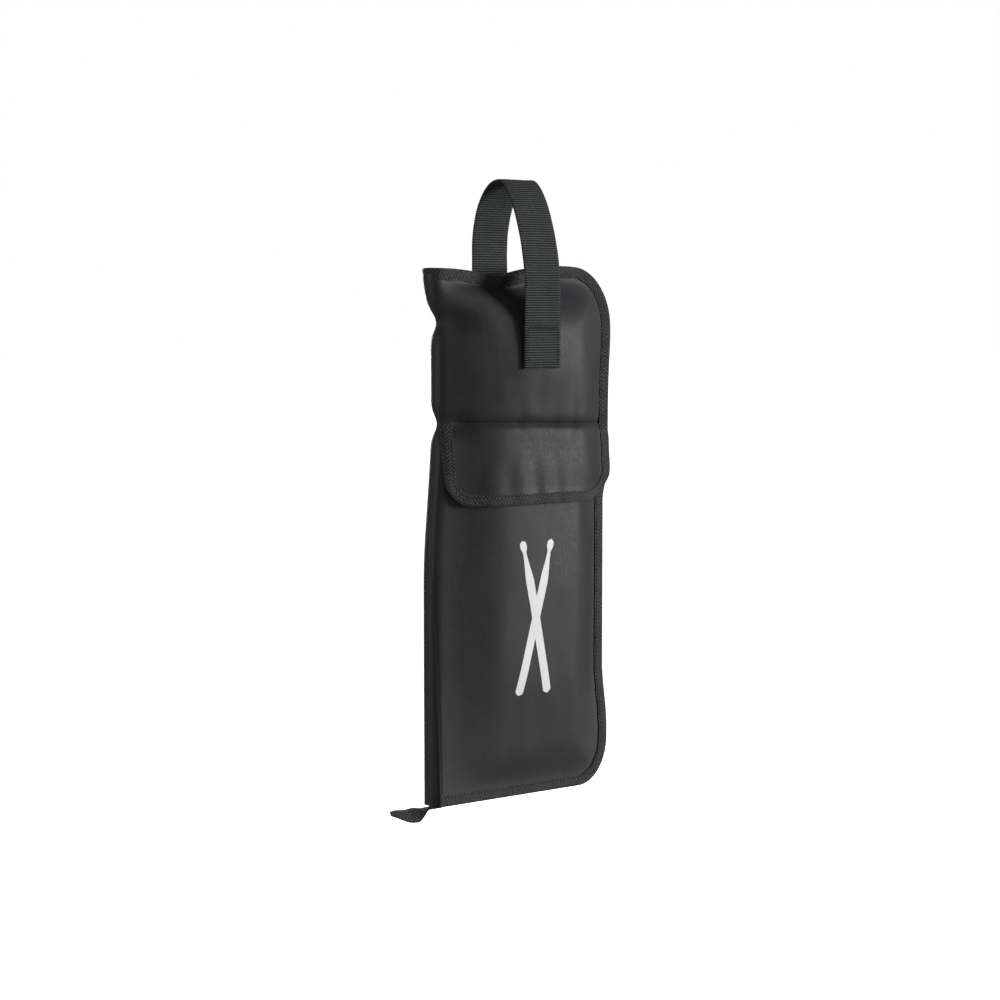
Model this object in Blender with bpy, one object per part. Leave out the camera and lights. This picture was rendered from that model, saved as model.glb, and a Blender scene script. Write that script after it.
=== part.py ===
"""Drum stick bag: two padded fabric covers that fold like a book about a soft spine.

The bag frame has X from the spine to the free edge, Y through the thickness with the front at -Y,
and Z up from the bottom edge. The empty named bag moves that frame so that the world origin is the
underside of the handle's arch, where the bag hangs.
"""

import math
from bisect import bisect_right

import bmesh
import bpy
from mathutils import Vector

MM = 0.001

# The covers
WIDTH = 190 * MM
HEIGHT = 457 * MM
SPINE_R = 10 * MM
HALF_EDGE = 10 * MM
TOP_CORNER_R = 42 * MM
BOTTOM_CORNER_R = 36 * MM
FLAT_BAND = 18 * MM
BAND_BLEND = 36 * MM
FRONT_RISE_LOW = 14 * MM
FRONT_RISE_HIGH = 26.5 * MM
BACK_RISE = 26 * MM
BACK_FLATTEN = 1.2

# Layers of a cover, from the outside in
GAP = 0.3 * MM
SHELL = 0.8 * MM
LINING = 0.6 * MM
PADDING = 3.2 * MM
PADDING_BLEND_START = 14 * MM
PADDING_BLEND = 22 * MM
PADDING_INSET = 20 * MM
SPINE_SIDE_PADDING = 9 * MM

# Edge binding, a tape folded over the edge
BINDING = 10 * MM
TAPE_WALL = 0.9 * MM
BINDING_SLOT_LOW = 7.5 * MM
BINDING_SLOT_HIGH = 11.4 * MM
PANEL_INSET = TAPE_WALL + GAP

# Accessory pocket on the front and the flap over it
POCKET_LEFT = 15 * MM
POCKET_TOP = 306 * MM
POCKET_ROOM = 6.5 * MM
FLAP_SEAM = 326 * MM
FLAP_BOTTOM = 253 * MM
FLAP_LEFT = SPINE_R
FLAP_RIGHT = WIDTH - 1 * MM
FLAP_CORNER_R = 24 * MM
FLAP_BINDING = 9 * MM
FLAP_LIFT = 4.7 * MM
FLAP_SHEET = 0.8 * MM
FLAP_BINDING_GAP = 0.65 * MM
STRIP_LEFT = 55 * MM
STRIP_RIGHT = 135 * MM
STRIP_LOW = 262 * MM
STRIP_HIGH = 282 * MM
STRIP = 1.3 * MM

# Stick pockets on the linings
STICK_POCKET_LEFT = 35 * MM
STICK_POCKET_RIGHT = 165 * MM
STICK_POCKET_LOW = 23 * MM
STICK_POCKET_TOP = 306 * MM
STICK_POCKET_ROOM = 7 * MM

# Handle webbing
STRAP_WIDTH = 38 * MM
STRAP = 1.6 * MM
STRAP_X = 95 * MM
STRAP_END = 372 * MM
ARCH_START = 471 * MM
ARCH_TOP = 533 * MM
FRONT_STRAP_Y = 36.9 * MM
BACK_STRAP_Y = 36.4 * MM

# Zip round the three open sides
ZIP_INSET = 6 * MM
ZIP_CHAIN = 2.4 * MM
ZIP_TAPE = 0.8 * MM
ZIP_START_X = 12 * MM
CHAIN_NEAR = 0.75 * MM
CHAIN_FAR = 2.9 * MM
TAPE_NEAR = 3.2 * MM
TAPE_FAR = 6.3 * MM
SLIDER_X = 22 * MM
SLIDER_LENGTH = 12 * MM
SLIDER_HALF_WIDTH = 4.4 * MM
SLIDER_PLATE = 1.2 * MM
POST_HALF = 0.45 * MM
BRIDGE_LENGTH = 9 * MM
BRIDGE_HALF_WIDTH = 1.2 * MM
BRIDGE_ROOM = 2 * MM
BRIDGE_BAR = 0.9 * MM
BRIDGE_LEG = 1.5 * MM
PULL_LENGTH = 24 * MM
PULL_HALF_WIDTH = 3.2 * MM
PULL_THICKNESS = 1.2 * MM
PULL_HOLE_LENGTH = 6.8 * MM
PULL_HOLE_HALF_WIDTH = 1.6 * MM
STOP_LENGTH = 2.6 * MM

# Tail tab, a folded tape sewn over the zip's lower end
TAB_ROOT_X = 13 * MM
TAB_LENGTH = 50 * MM
TAB_HALF_WIDTH = 9 * MM
TAB_THICKNESS = 1.6 * MM
TAB_DROP = 7.5 * MM
TAB_TILT = math.radians(55)

# What the world origin is: the underside of the arch
HOLD = Vector((STRAP_X, 0, ARCH_TOP - STRAP))

FRONT = -1
BACK = 1


def stations(start, *runs):
    """Values from start through each run's end, evenly spaced, no step wider than the run's own."""
    values = [start]
    for end, step in runs:
        begin = values[-1]
        count = max(1, math.ceil((end - begin) / step - 1e-6))
        values += [begin + (end - begin) * i / count for i in range(1, count + 1)]
    return values


X_LINES = stations(
    SPINE_R,
    (POCKET_LEFT, 20 * MM),
    (STRIP_LEFT, 20 * MM),
    (STRIP_RIGHT, 20 * MM),
    (WIDTH - BINDING, 15 * MM),
    (WIDTH, 10 * MM),
)
Z_LINES = stations(
    0,
    (BINDING, 10 * MM),
    (BOTTOM_CORNER_R + BINDING, 13.5 * MM),
    (FLAP_BOTTOM, 41 * MM),
    (STRIP_LOW, 20 * MM),
    (STRIP_HIGH, 20 * MM),
    (POCKET_TOP, 24 * MM),
    (FLAP_SEAM, 20 * MM),
    (STRAP_END, 24 * MM),
    (HEIGHT - 50 * MM, 36 * MM),
    (HEIGHT - BINDING, 13.5 * MM),
    (HEIGHT, 10 * MM),
)


def smooth(t):
    t = min(1.0, max(0.0, t))
    return t * t * (3 - 2 * t)


def edge_distance(x, z):
    """How far inside the cover's rounded outline a point is, the spine side left out."""
    for radius, corner_z, beyond in (
        (TOP_CORNER_R, HEIGHT - TOP_CORNER_R, z - (HEIGHT - TOP_CORNER_R)),
        (BOTTOM_CORNER_R, BOTTOM_CORNER_R, BOTTOM_CORNER_R - z),
    ):
        across = x - (WIDTH - radius)
        if across > 0 and beyond > 0:
            return radius - math.hypot(across, z - corner_z)
    return min(WIDTH - x, HEIGHT - z, z)


def pillow(x, z):
    """0 at the edges to about 1 in the middle, the shape of a stuffed cover."""
    u = min(1.0, max(0.0, (x - SPINE_R) / (WIDTH - BINDING - SPINE_R)))
    across = math.sin(math.pi * u**0.85)
    v = 2 * (z - BINDING) / (HEIGHT - 2 * BINDING) - 1
    along = 1 - min(1.0, abs(v)) ** (12 if v > 0 else 5)
    return across * along * smooth((edge_distance(x, z) - FLAT_BAND) / BAND_BLEND)


def front_face(x, z):
    """Distance from the middle plane to the front shell's outer face."""
    share = smooth((z - 300 * MM) / (70 * MM))
    rise = FRONT_RISE_LOW + (FRONT_RISE_HIGH - FRONT_RISE_LOW) * share
    return HALF_EDGE + rise * pillow(x, z)


def back_face(x, z):
    """Distance from the middle plane to the back shell's outer face, flat where it lies on a table."""
    return HALF_EDGE + BACK_RISE * min(1.0, BACK_FLATTEN * pillow(x, z))


def padding_depth(x, z):
    inside = min(edge_distance(x, z), x + SPINE_SIDE_PADDING)
    return PADDING * smooth((inside - PADDING_BLEND_START) / PADDING_BLEND)


def pocket_room(x, z):
    """The accessory pocket's own depth behind its panel."""
    left = smooth((x - 12 * MM) / (40 * MM))
    right = smooth((WIDTH - BINDING - x) / (40 * MM))
    return POCKET_ROOM * left * right * smooth((z - FLAT_BAND) / (40 * MM))


def stick_pocket_room(x, z):
    left = smooth((x - STICK_POCKET_LEFT) / (30 * MM))
    right = smooth((STICK_POCKET_RIGHT - x) / (30 * MM))
    return STICK_POCKET_ROOM * left * right * smooth((z - STICK_POCKET_LOW) / (40 * MM))


def shifted(face, offset):
    """The face moved outward by a length or by another function of x and z."""
    if callable(offset):
        return lambda x, z: face(x, z) + offset(x, z)
    return lambda x, z: face(x, z) + offset


def faceted(height):
    """The function as the flat triangles between the grid lines have it."""

    def sample(x, z):
        i = min(max(bisect_right(X_LINES, x) - 1, 0), len(X_LINES) - 2)
        j = min(max(bisect_right(Z_LINES, z) - 1, 0), len(Z_LINES) - 2)
        x0, x1, z0, z1 = X_LINES[i], X_LINES[i + 1], Z_LINES[j], Z_LINES[j + 1]
        p, q = (x - x0) / (x1 - x0), (z - z0) / (z1 - z0)
        low, high = height(x0, z0), height(x1, z1)
        if p >= q:
            corner = height(x1, z0)
            return low + p * (corner - low) + q * (high - corner)
        corner = height(x0, z1)
        return low + q * (corner - low) + p * (high - corner)

    return sample


# ---------------------------------------------------------------- objects


def clear_scene():
    for obj in list(bpy.data.objects):
        bpy.data.objects.remove(obj, do_unlink=True)


def make_material(name, color, roughness, metallic=0.0):
    material = bpy.data.materials.new(name)
    material.use_nodes = True
    shader = material.node_tree.nodes["Principled BSDF"]
    shader.inputs["Base Color"].default_value = (*color, 1.0)
    shader.inputs["Roughness"].default_value = roughness
    shader.inputs["Metallic"].default_value = metallic
    return material


def add_empty(name, place, parent=None, parent_place=Vector()):
    """An empty at a place in the bag frame, with its own zero as the origin of what it carries."""
    empty = bpy.data.objects.new(name, None)
    empty.empty_display_size = 20 * MM
    bpy.context.collection.objects.link(empty)
    empty.parent = parent
    empty.location = place - parent_place
    empty["place"] = list(place)
    return empty


def add_object(name, bm, parent, material=None):
    """Takes a bmesh in the bag frame and hangs it on its parent empty."""
    bmesh.ops.recalc_face_normals(bm, faces=bm.faces[:])
    if bm.calc_volume(signed=True) < 0:
        bmesh.ops.reverse_faces(bm, faces=bm.faces[:])
    bmesh.ops.translate(bm, verts=bm.verts[:], vec=-Vector(parent["place"]))
    mesh = bpy.data.meshes.new(name)
    bm.to_mesh(mesh)
    bm.free()
    obj = bpy.data.objects.new(name, mesh)
    bpy.context.collection.objects.link(obj)
    obj.parent = parent
    if material:
        mesh.materials.append(material)
    return obj


def modify(obj, tool, operation):
    tool.hide_render = True
    tool.display_type = "WIRE"
    boolean = obj.modifiers.new(f"{operation.lower()}_{tool.name}", "BOOLEAN")
    boolean.operation = operation
    boolean.object = tool


def box(bm, low, high):
    corners = [
        bm.verts.new((x, y, z))
        for x in (low[0], high[0])
        for y in (low[1], high[1])
        for z in (low[2], high[2])
    ]
    for a, b, c, d in (
        (0, 1, 3, 2), (4, 6, 7, 5), (0, 4, 5, 1), (2, 3, 7, 6), (0, 2, 6, 4), (1, 5, 7, 3),
    ):
        bm.faces.new((corners[a], corners[b], corners[c], corners[d]))


def add_box(name, low, high, parent, material=None):
    bm = bmesh.new()
    box(bm, low, high)
    return add_object(name, bm, parent, material)


def sweep(rings):
    """A closed bmesh through rings of points, capped at both ends."""
    bm = bmesh.new()
    made = [[bm.verts.new(point) for point in ring] for ring in rings]
    for a, b in zip(made, made[1:]):
        for i in range(len(a)):
            j = (i + 1) % len(a)
            bm.faces.new((a[i], a[j], b[j], b[i]))
    bm.faces.new(made[0])
    bm.faces.new(made[-1])
    return bm


# ---------------------------------------------------------------- cover layers


def layer(side, zs, outer_row, inner_row):
    """A closed sheet on the shared grid. Each row function gives (x, distance) points at one height."""
    bm = bmesh.new()
    outer = [[bm.verts.new((x, side * d, z)) for x, d in outer_row(z)] for z in zs]
    inner = [[bm.verts.new((x, side * d, z)) for x, d in inner_row(z)] for z in zs]
    for skin in (outer, inner):
        for low, high in zip(skin, skin[1:]):
            for i in range(len(low) - 1):
                bm.faces.new((low[i], low[i + 1], high[i + 1]))
                bm.faces.new((low[i], high[i + 1], high[i]))
    for k in (0, -1):
        for i in range(len(outer[k]) - 1):
            bm.faces.new((outer[k][i], outer[k][i + 1], inner[k][i + 1], inner[k][i]))
        for j in range(len(zs) - 1):
            bm.faces.new((outer[j][k], outer[j + 1][k], inner[j + 1][k], inner[j][k]))
    return bm


def panel(side, x_range, z_range, inner, outer):
    """A sheet over the grid lines inside the two ranges."""
    xs = [x for x in X_LINES if x_range[0] - 1e-9 <= x <= x_range[1] + 1e-9]
    zs = [z for z in Z_LINES if z_range[0] - 1e-9 <= z <= z_range[1] + 1e-9]
    return layer(
        side,
        zs,
        lambda z: [(x, outer(x, z)) for x in xs],
        lambda z: [(x, inner(x, z)) for x in xs],
    )


def spine_points(radius):
    """Half of the spine's round, from just off the middle plane to the cover's own plane."""
    start = math.asin(1.02 * GAP / 2 / (SPINE_R - SHELL))
    angles = [start + (math.pi / 2 - start) * i / 4 for i in range(4)]
    return [(SPINE_R - radius * math.cos(a), radius * math.sin(a)) for a in angles]


def arc(cx, cz, radius, start, end, steps):
    """Points and inward normals along a round corner, by angle in degrees."""
    for i in range(steps + 1):
        a = math.radians(start + (end - start) * i / steps)
        yield cx + radius * math.cos(a), cz + radius * math.sin(a), -math.cos(a), -math.sin(a)


def outline(inset, x_start, steps=10):
    """The cover's three open sides from the spine's foot round to its top: x, z and inward normal."""
    right = WIDTH - inset
    bottom_r, top_r = BOTTOM_CORNER_R - inset, TOP_CORNER_R - inset
    points = [(x_start, inset, 0, 1)]
    points += arc(right - bottom_r, inset + bottom_r, bottom_r, -90, 0, steps)
    points += arc(right - top_r, HEIGHT - inset - top_r, top_r, 0, 90, steps)
    points.append((x_start, HEIGHT - inset, 0, -1))
    return points


def add_cover_cutter(name, inset, parent):
    """The volume inside the rounded outline, open on the spine side."""
    points = outline(inset, -4 * SPINE_R)
    deep = 3 * FRONT_STRAP_Y
    rings = [[(x, y, z) for x, z, _, _ in points] for y in (-deep, deep)]
    return add_object(name, sweep(rings), parent)


def add_shell(name, side, face, parent, material, cutter):
    """Outer fabric of one cover with its half of the spine."""
    xs = X_LINES

    def row(offset):
        return lambda z: (
            spine_points(SPINE_R + offset) + [(x, face(x, z) + offset) for x in xs]
        )

    obj = add_object(name, layer(side, Z_LINES, row(0), row(-SHELL)), parent, material)
    modify(obj, cutter, "INTERSECT")
    return obj


def padding_top(face):
    return shifted(face, -SHELL - GAP)


def lining_top(face):
    return shifted(padding_top(face), lambda x, z: -padding_depth(x, z) - GAP)


def add_padding(name, side, face, parent, material, cutter):
    top = padding_top(face)
    bottom = shifted(top, lambda x, z: -padding_depth(x, z))
    whole = (POCKET_LEFT, WIDTH), (0, HEIGHT)
    obj = add_object(name, panel(side, *whole, bottom, top), parent, material)
    modify(obj, cutter, "INTERSECT")


def add_lining(name, side, face, parent, material, cutter):
    top = lining_top(face)
    whole = (SPINE_R, WIDTH), (0, HEIGHT)
    obj = add_object(name, panel(side, *whole, shifted(top, -LINING), top), parent, material)
    modify(obj, cutter, "INTERSECT")


# ---------------------------------------------------------------- folded binding


def binding(path, side, depth, slot_low, slot_high):
    """A tape folded round an edge: a U section whose slot holds the sheets."""
    rings = []
    for x, z, nx, nz in path:
        corners = (
            (0, slot_low, -TAPE_WALL),
            (depth, slot_low, -TAPE_WALL),
            (depth, slot_low, 0),
            (TAPE_WALL, slot_low, 0),
            (TAPE_WALL, slot_high, 0),
            (depth, slot_high, 0),
            (depth, slot_high, TAPE_WALL),
            (0, slot_high, TAPE_WALL),
        )
        ring = []
        for along, height, extra in corners:
            px, pz = x + nx * along, z + nz * along
            ring.append((px, side * (height(px, pz) + extra), pz))
        rings.append(ring)
    return sweep(rings)


def add_edge_binding(name, side, parent, material):
    path = outline(0, SPINE_R + GAP)
    bm = binding(
        path, side, BINDING, lambda x, z: BINDING_SLOT_LOW, lambda x, z: BINDING_SLOT_HIGH
    )
    add_object(name, bm, parent, material)


def add_mouth_binding(name, side, top_z, low, high, parent, material):
    """Binding along a pocket's straight mouth, whose sheet lies between low and high."""
    left, right = STICK_POCKET_LEFT + GAP, STICK_POCKET_RIGHT - GAP
    xs = [left] + [x for x in X_LINES if left < x < right] + [right]
    path = [(x, top_z + PANEL_INSET, 0, -1) for x in xs]
    slots = faceted(shifted(low, -GAP)), faceted(shifted(high, GAP))
    add_object(name, binding(path, side, BINDING, *slots), parent, material)


# ---------------------------------------------------------------- pockets and flap


def accessory_back(x, z):
    return front_face(x, z) + GAP + pocket_room(x, z)


def accessory_front(x, z):
    return accessory_back(x, z) + SHELL


def add_accessory_pocket(parent, fabric, tape, loop, cutter):
    region = (POCKET_LEFT, WIDTH), (0, POCKET_TOP)
    pocket = panel(FRONT, *region, accessory_back, accessory_front)
    modify(add_object("accessory_pocket", pocket, parent, fabric), cutter, "INTERSECT")
    add_mouth_binding(
        "accessory_pocket_binding", FRONT, POCKET_TOP, accessory_back, accessory_front,
        parent, tape,
    )
    low = shifted(accessory_front, GAP)
    strip = (STRIP_LEFT, STRIP_RIGHT), (STRIP_LOW, STRIP_HIGH)
    loop_mesh = panel(FRONT, *strip, low, shifted(low, STRIP))
    add_object("pocket_loop_strip", loop_mesh, parent, loop)


def over_pocket(x, z):
    """The flap's back face: clear of the pocket below, and down to the shell at its sewn root."""
    if z > POCKET_TOP + 1e-9:
        sewn = 50 * MM < x < 170 * MM
        return front_face(x, z) + (GAP if sewn else FLAP_LIFT)
    return accessory_front(x, z) - GAP - SHELL + FLAP_LIFT


def flap_front(x, z):
    if z > POCKET_TOP + 1e-9:
        return front_face(x, z) + FLAP_LIFT + FLAP_SHEET
    return over_pocket(x, z) + FLAP_SHEET


def flap_outline(inset, top, steps):
    """The flap's free edge, down the left side, along the bottom and up the right side."""
    left, right, bottom = FLAP_LEFT + inset, FLAP_RIGHT - inset, FLAP_BOTTOM + inset
    radius = FLAP_CORNER_R - inset
    sides = [z for z in Z_LINES if bottom + radius < z < top]
    points = [(left, top, 1, 0)]
    points += [(left, z, 1, 0) for z in reversed(sides)]
    points += arc(left + radius, bottom + radius, radius, 180, 270, steps)
    points += [(x, bottom, 0, 1) for x in X_LINES if left + radius < x < right - radius]
    points += arc(right - radius, bottom + radius, radius, 270, 360, steps)
    points += [(right, z, -1, 0) for z in sides]
    points.append((right, top, -1, 0))
    return points


def add_flap(parent, cutter_parent, fabric, tape, hook):
    region = (FLAP_LEFT, WIDTH), (FLAP_BOTTOM, FLAP_SEAM)
    sheet = add_object("flap_panel", panel(FRONT, *region, over_pocket, flap_front), parent, fabric)
    points = flap_outline(PANEL_INSET, 2 * FLAP_SEAM, 8)
    deep = 3 * FRONT_STRAP_Y
    rings = [[(x, y, z) for x, z, _, _ in points] for y in (-deep, 0)]
    modify(sheet, add_object("flap_cutter", sweep(rings), cutter_parent), "INTERSECT")

    path = flap_outline(0, FLAP_SEAM - GAP, 9)
    low, high = shifted(over_pocket, -FLAP_BINDING_GAP), shifted(flap_front, FLAP_BINDING_GAP)
    slots = faceted(low), faceted(high)
    add_object("flap_binding", binding(path, FRONT, FLAP_BINDING, *slots), parent, tape)

    high = shifted(over_pocket, -GAP)
    strip = (STRIP_LEFT, STRIP_RIGHT), (STRIP_LOW, STRIP_HIGH)
    hook_mesh = panel(FRONT, *strip, shifted(high, -STRIP), high)
    add_object("flap_hook_strip", hook_mesh, parent, hook)


def add_stick_pocket(prefix, side, face, parent, fabric, tape):
    """Pocket panel on the lining, open at the top."""
    lining_face = shifted(lining_top(face), -LINING)
    high = shifted(lining_face, lambda x, z: -GAP - stick_pocket_room(x, z))
    low = shifted(high, -LINING)
    region = (STICK_POCKET_LEFT, STICK_POCKET_RIGHT), (STICK_POCKET_LOW, STICK_POCKET_TOP)
    add_object(f"{prefix}_stick_pocket", panel(side, *region, low, high), parent, fabric)
    inner = [x for x in X_LINES if STICK_POCKET_LEFT + 1e-9 < x < STICK_POCKET_RIGHT - 1e-9]
    path = [(x, STICK_POCKET_TOP + PANEL_INSET, 0, -1) for x in inner]
    slots = faceted(shifted(low, -GAP)), faceted(shifted(high, GAP))
    mouth = binding(path, side, BINDING, *slots)
    add_object(f"{prefix}_stick_pocket_binding", mouth, parent, tape)


# ---------------------------------------------------------------- handle


def strap_line(side, inner_y, steps=8):
    """Middle of the webbing as (y, z, normal y, normal z), from its sewn end to the arch's top."""
    half_span = inner_y + STRAP / 2
    half_rise = ARCH_TOP - STRAP / 2 - ARCH_START
    line = [(side * half_span, STRAP_END, side, 0)]
    for i in range(steps + 1):
        a = math.radians(90 * i / steps)
        ny, nz = math.cos(a) / half_span, math.sin(a) / half_rise
        size = math.hypot(ny, nz)
        y, z = half_span * math.cos(a), ARCH_START + half_rise * math.sin(a)
        if i == steps:
            y = GAP / 2
        line.append((side * y, z, side * ny / size, nz / size))
    return line


def add_handle_half(name, side, inner_y, parent, material):
    rings = []
    for y, z, ny, nz in strap_line(side, inner_y):
        half = STRAP / 2
        ring = []
        for x_side, n_side in ((-1, -1), (1, -1), (1, 1), (-1, 1)):
            x = STRAP_X + x_side * STRAP_WIDTH / 2
            ring.append((x, y + n_side * ny * half, z + n_side * nz * half))
        rings.append(ring)
    rings[-1] = [(x, side * GAP / 2, z) for x, _, z in rings[-1]]
    add_object(name, sweep(rings), parent, material)


# ---------------------------------------------------------------- zip


def zip_band(side, inset, thickness, near, far):
    """A band that follows the cover's outline between the two bindings."""
    rings = []
    for x, z, nx, nz in outline(inset, ZIP_START_X):
        deeper = x + nx * thickness, z + nz * thickness
        rings.append(
            [
                (x, side * near, z),
                (x, side * far, z),
                (deeper[0], side * far, deeper[1]),
                (deeper[0], side * near, deeper[1]),
            ]
        )
    return sweep(rings)


def add_zip_half(prefix, side, parent, cloth, coil, metal):
    inset = ZIP_INSET + (ZIP_CHAIN - ZIP_TAPE) / 2
    tape = zip_band(side, inset, ZIP_TAPE, TAPE_NEAR, TAPE_FAR)
    add_object(f"zip_tape_{prefix}", tape, parent, cloth)
    chain = zip_band(side, ZIP_INSET, ZIP_CHAIN, CHAIN_NEAR, CHAIN_FAR)
    add_object(f"zip_chain_{prefix}", chain, parent, coil)
    top = HEIGHT - ZIP_INSET
    ys = sorted((side * CHAIN_NEAR, side * CHAIN_FAR))
    low = ZIP_START_X - GAP - STOP_LENGTH, ys[0], top - ZIP_CHAIN
    high = ZIP_START_X - GAP, ys[1], top
    add_box(f"zip_stop_{prefix}", low, high, parent, metal)


def slider_levels():
    """Heights of the slider: under the lower plate, over it, under the upper plate, over it."""
    chain_top = HEIGHT - ZIP_INSET
    chain_low = chain_top - ZIP_CHAIN
    clear = 1.3 * GAP
    return (
        chain_low - clear - SLIDER_PLATE, chain_low - clear, chain_top + clear,
        chain_top + clear + SLIDER_PLATE,
    )


def pull_pivot():
    plate_top = slider_levels()[3]
    x = SLIDER_X - BRIDGE_LENGTH / 2 + BRIDGE_LEG + 1.6 * MM
    return Vector((x, 0, plate_top + BRIDGE_ROOM / 2))


def add_slider(parent, material):
    """Two plates joined by a post between the teeth, with a bridge that holds the pull."""
    z0, z1, z2, z3 = slider_levels()
    w, p = SLIDER_HALF_WIDTH, POST_HALF
    section = [
        (-w, z0), (w, z0), (w, z1), (p, z1), (p, z2), (w, z2),
        (w, z3), (-w, z3), (-w, z2), (-p, z2), (-p, z1), (-w, z1),
    ]
    ends = SLIDER_X - SLIDER_LENGTH / 2, SLIDER_X + SLIDER_LENGTH / 2
    slider = add_object(
        "slider_body", sweep([[(x, y, z) for y, z in section] for x in ends]), parent, material
    )
    left, right = SLIDER_X - BRIDGE_LENGTH / 2, SLIDER_X + BRIDGE_LENGTH / 2
    sunk = z3 - SLIDER_PLATE / 2
    room = z3 + BRIDGE_ROOM
    profile = [
        (left, sunk), (left + BRIDGE_LEG, sunk), (left + BRIDGE_LEG, room),
        (right - BRIDGE_LEG, room), (right - BRIDGE_LEG, sunk), (right, sunk),
        (right, room + BRIDGE_BAR), (left, room + BRIDGE_BAR),
    ]
    y = BRIDGE_HALF_WIDTH
    bridge = add_object(
        "bridge_tool", sweep([[(x, s * y, z) for x, z in profile] for s in (-1, 1)]), parent
    )
    modify(slider, bridge, "UNION")


def add_pull(parent, material):
    """Flat tab whose end bar passes under the slider's bridge."""
    pivot = pull_pivot()
    half = PULL_THICKNESS / 2
    start = pivot.x - half
    low = start, -PULL_HALF_WIDTH, pivot.z - half
    high = start + PULL_LENGTH, PULL_HALF_WIDTH, pivot.z + half
    pull = add_box("pull_tab", low, high, parent, material)
    hole_low = start + PULL_THICKNESS, -PULL_HOLE_HALF_WIDTH, pivot.z - 3 * half
    hole_high = hole_low[0] + PULL_HOLE_LENGTH, PULL_HOLE_HALF_WIDTH, pivot.z + 3 * half
    modify(pull, add_box("pull_hole_tool", hole_low, hole_high, parent), "DIFFERENCE")


def add_tail_tab(parent, material):
    """Leaf-shaped tape that leaves the spine's foot, turning from flat to tilted as it goes."""
    rings = []
    steps = 10
    for i in range(steps + 1):
        share = i / steps
        out = smooth((share - 0.28) / 0.3)
        tilt = TAB_TILT * out
        root_width = 0.5 * (1 - out)
        leaf = math.sin(math.pi * min(1.0, 0.18 + 0.78 * share)) ** 0.7
        half_width = TAB_HALF_WIDTH * (root_width + out * leaf)
        centre = Vector((TAB_ROOT_X - TAB_LENGTH * share, 0, -1.5 * MM - TAB_DROP * out))
        across = Vector((0, -math.cos(tilt), -math.sin(tilt)))
        normal = Vector((0, math.sin(tilt), -math.cos(tilt)))
        ring = []
        for a, n in ((-1, -1), (1, -1), (1, 1), (-1, 1)):
            ring.append(centre + across * (a * half_width) + normal * (n * TAB_THICKNESS / 2))
        rings.append(ring)
    add_object("zip_tail_tab", sweep(rings), parent, material)


# ---------------------------------------------------------------- whole bag


def build():
    clear_scene()
    nylon = make_material("nylon_shell", (0.022, 0.023, 0.026), 0.62)
    tape = make_material("binding_tape", (0.016, 0.016, 0.018), 0.75)
    webbing = make_material("webbing", (0.018, 0.018, 0.020), 0.7)
    lining = make_material("lining", (0.03, 0.03, 0.034), 0.7)
    foam = make_material("foam", (0.05, 0.05, 0.055), 0.9)
    zip_cloth = make_material("zip_tape", (0.016, 0.016, 0.018), 0.8)
    coil = make_material("zip_coil", (0.02, 0.02, 0.022), 0.45)
    metal = make_material("zip_metal", (0.06, 0.06, 0.065), 0.35, 1.0)
    loop = make_material("hook_and_loop", (0.02, 0.02, 0.022), 0.95)

    bag = add_empty("bag", Vector())
    bag.location = -HOLD
    cover_fold = add_empty("cover_fold", Vector(), bag)
    seam_y = -faceted(flap_front)(STRAP_X, FLAP_SEAM)
    flap_fold = add_empty("flap_fold", Vector((STRAP_X, seam_y, FLAP_SEAM)), cover_fold)
    slider_place = Vector((SLIDER_X, 0, HEIGHT - ZIP_INSET - ZIP_CHAIN / 2))
    slider_travel = add_empty("slider_travel", slider_place, bag)
    pull_swing = add_empty("pull_swing", pull_pivot(), slider_travel, slider_place)

    panel_cutter = add_cover_cutter("panel_cutter", PANEL_INSET, bag)
    padding_cutter = add_cover_cutter("padding_cutter", PADDING_INSET, bag)

    for prefix, side, face, parent in (
        ("back", BACK, back_face, bag),
        ("front", FRONT, front_face, cover_fold),
    ):
        add_shell(f"{prefix}_shell", side, face, parent, nylon, panel_cutter)
        add_padding(f"{prefix}_padding", side, face, parent, foam, padding_cutter)
        add_lining(f"{prefix}_lining", side, face, parent, lining, panel_cutter)
        add_edge_binding(f"{prefix}_edge_binding", side, parent, tape)
        add_stick_pocket(prefix, side, face, parent, lining, tape)
        add_zip_half(prefix, side, parent, zip_cloth, coil, metal)

    add_handle_half("handle_back", BACK, BACK_STRAP_Y, bag, webbing)
    add_handle_half("handle_front", FRONT, FRONT_STRAP_Y, cover_fold, webbing)
    add_accessory_pocket(cover_fold, nylon, tape, loop, panel_cutter)
    add_flap(flap_fold, bag, nylon, tape, loop)
    add_slider(slider_travel, metal)
    add_pull(pull_swing, metal)
    add_tail_tab(bag, tape)


build()
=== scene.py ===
"""Drum stick bag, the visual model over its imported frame.

The bag frame has X from the spine to the free edge, Z up from the bottom edge and a height h away
from the middle plane, to the front (side -1) or to the back (side 1). Its lengths are in
millimetres, and MM turns them into the world's metres.
"""

from math import acos, ceil, copysign, cos, dist, exp, hypot, pi, radians, sin, sqrt

import bmesh
import bpy
from mathutils import Matrix, Vector, noise


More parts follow.
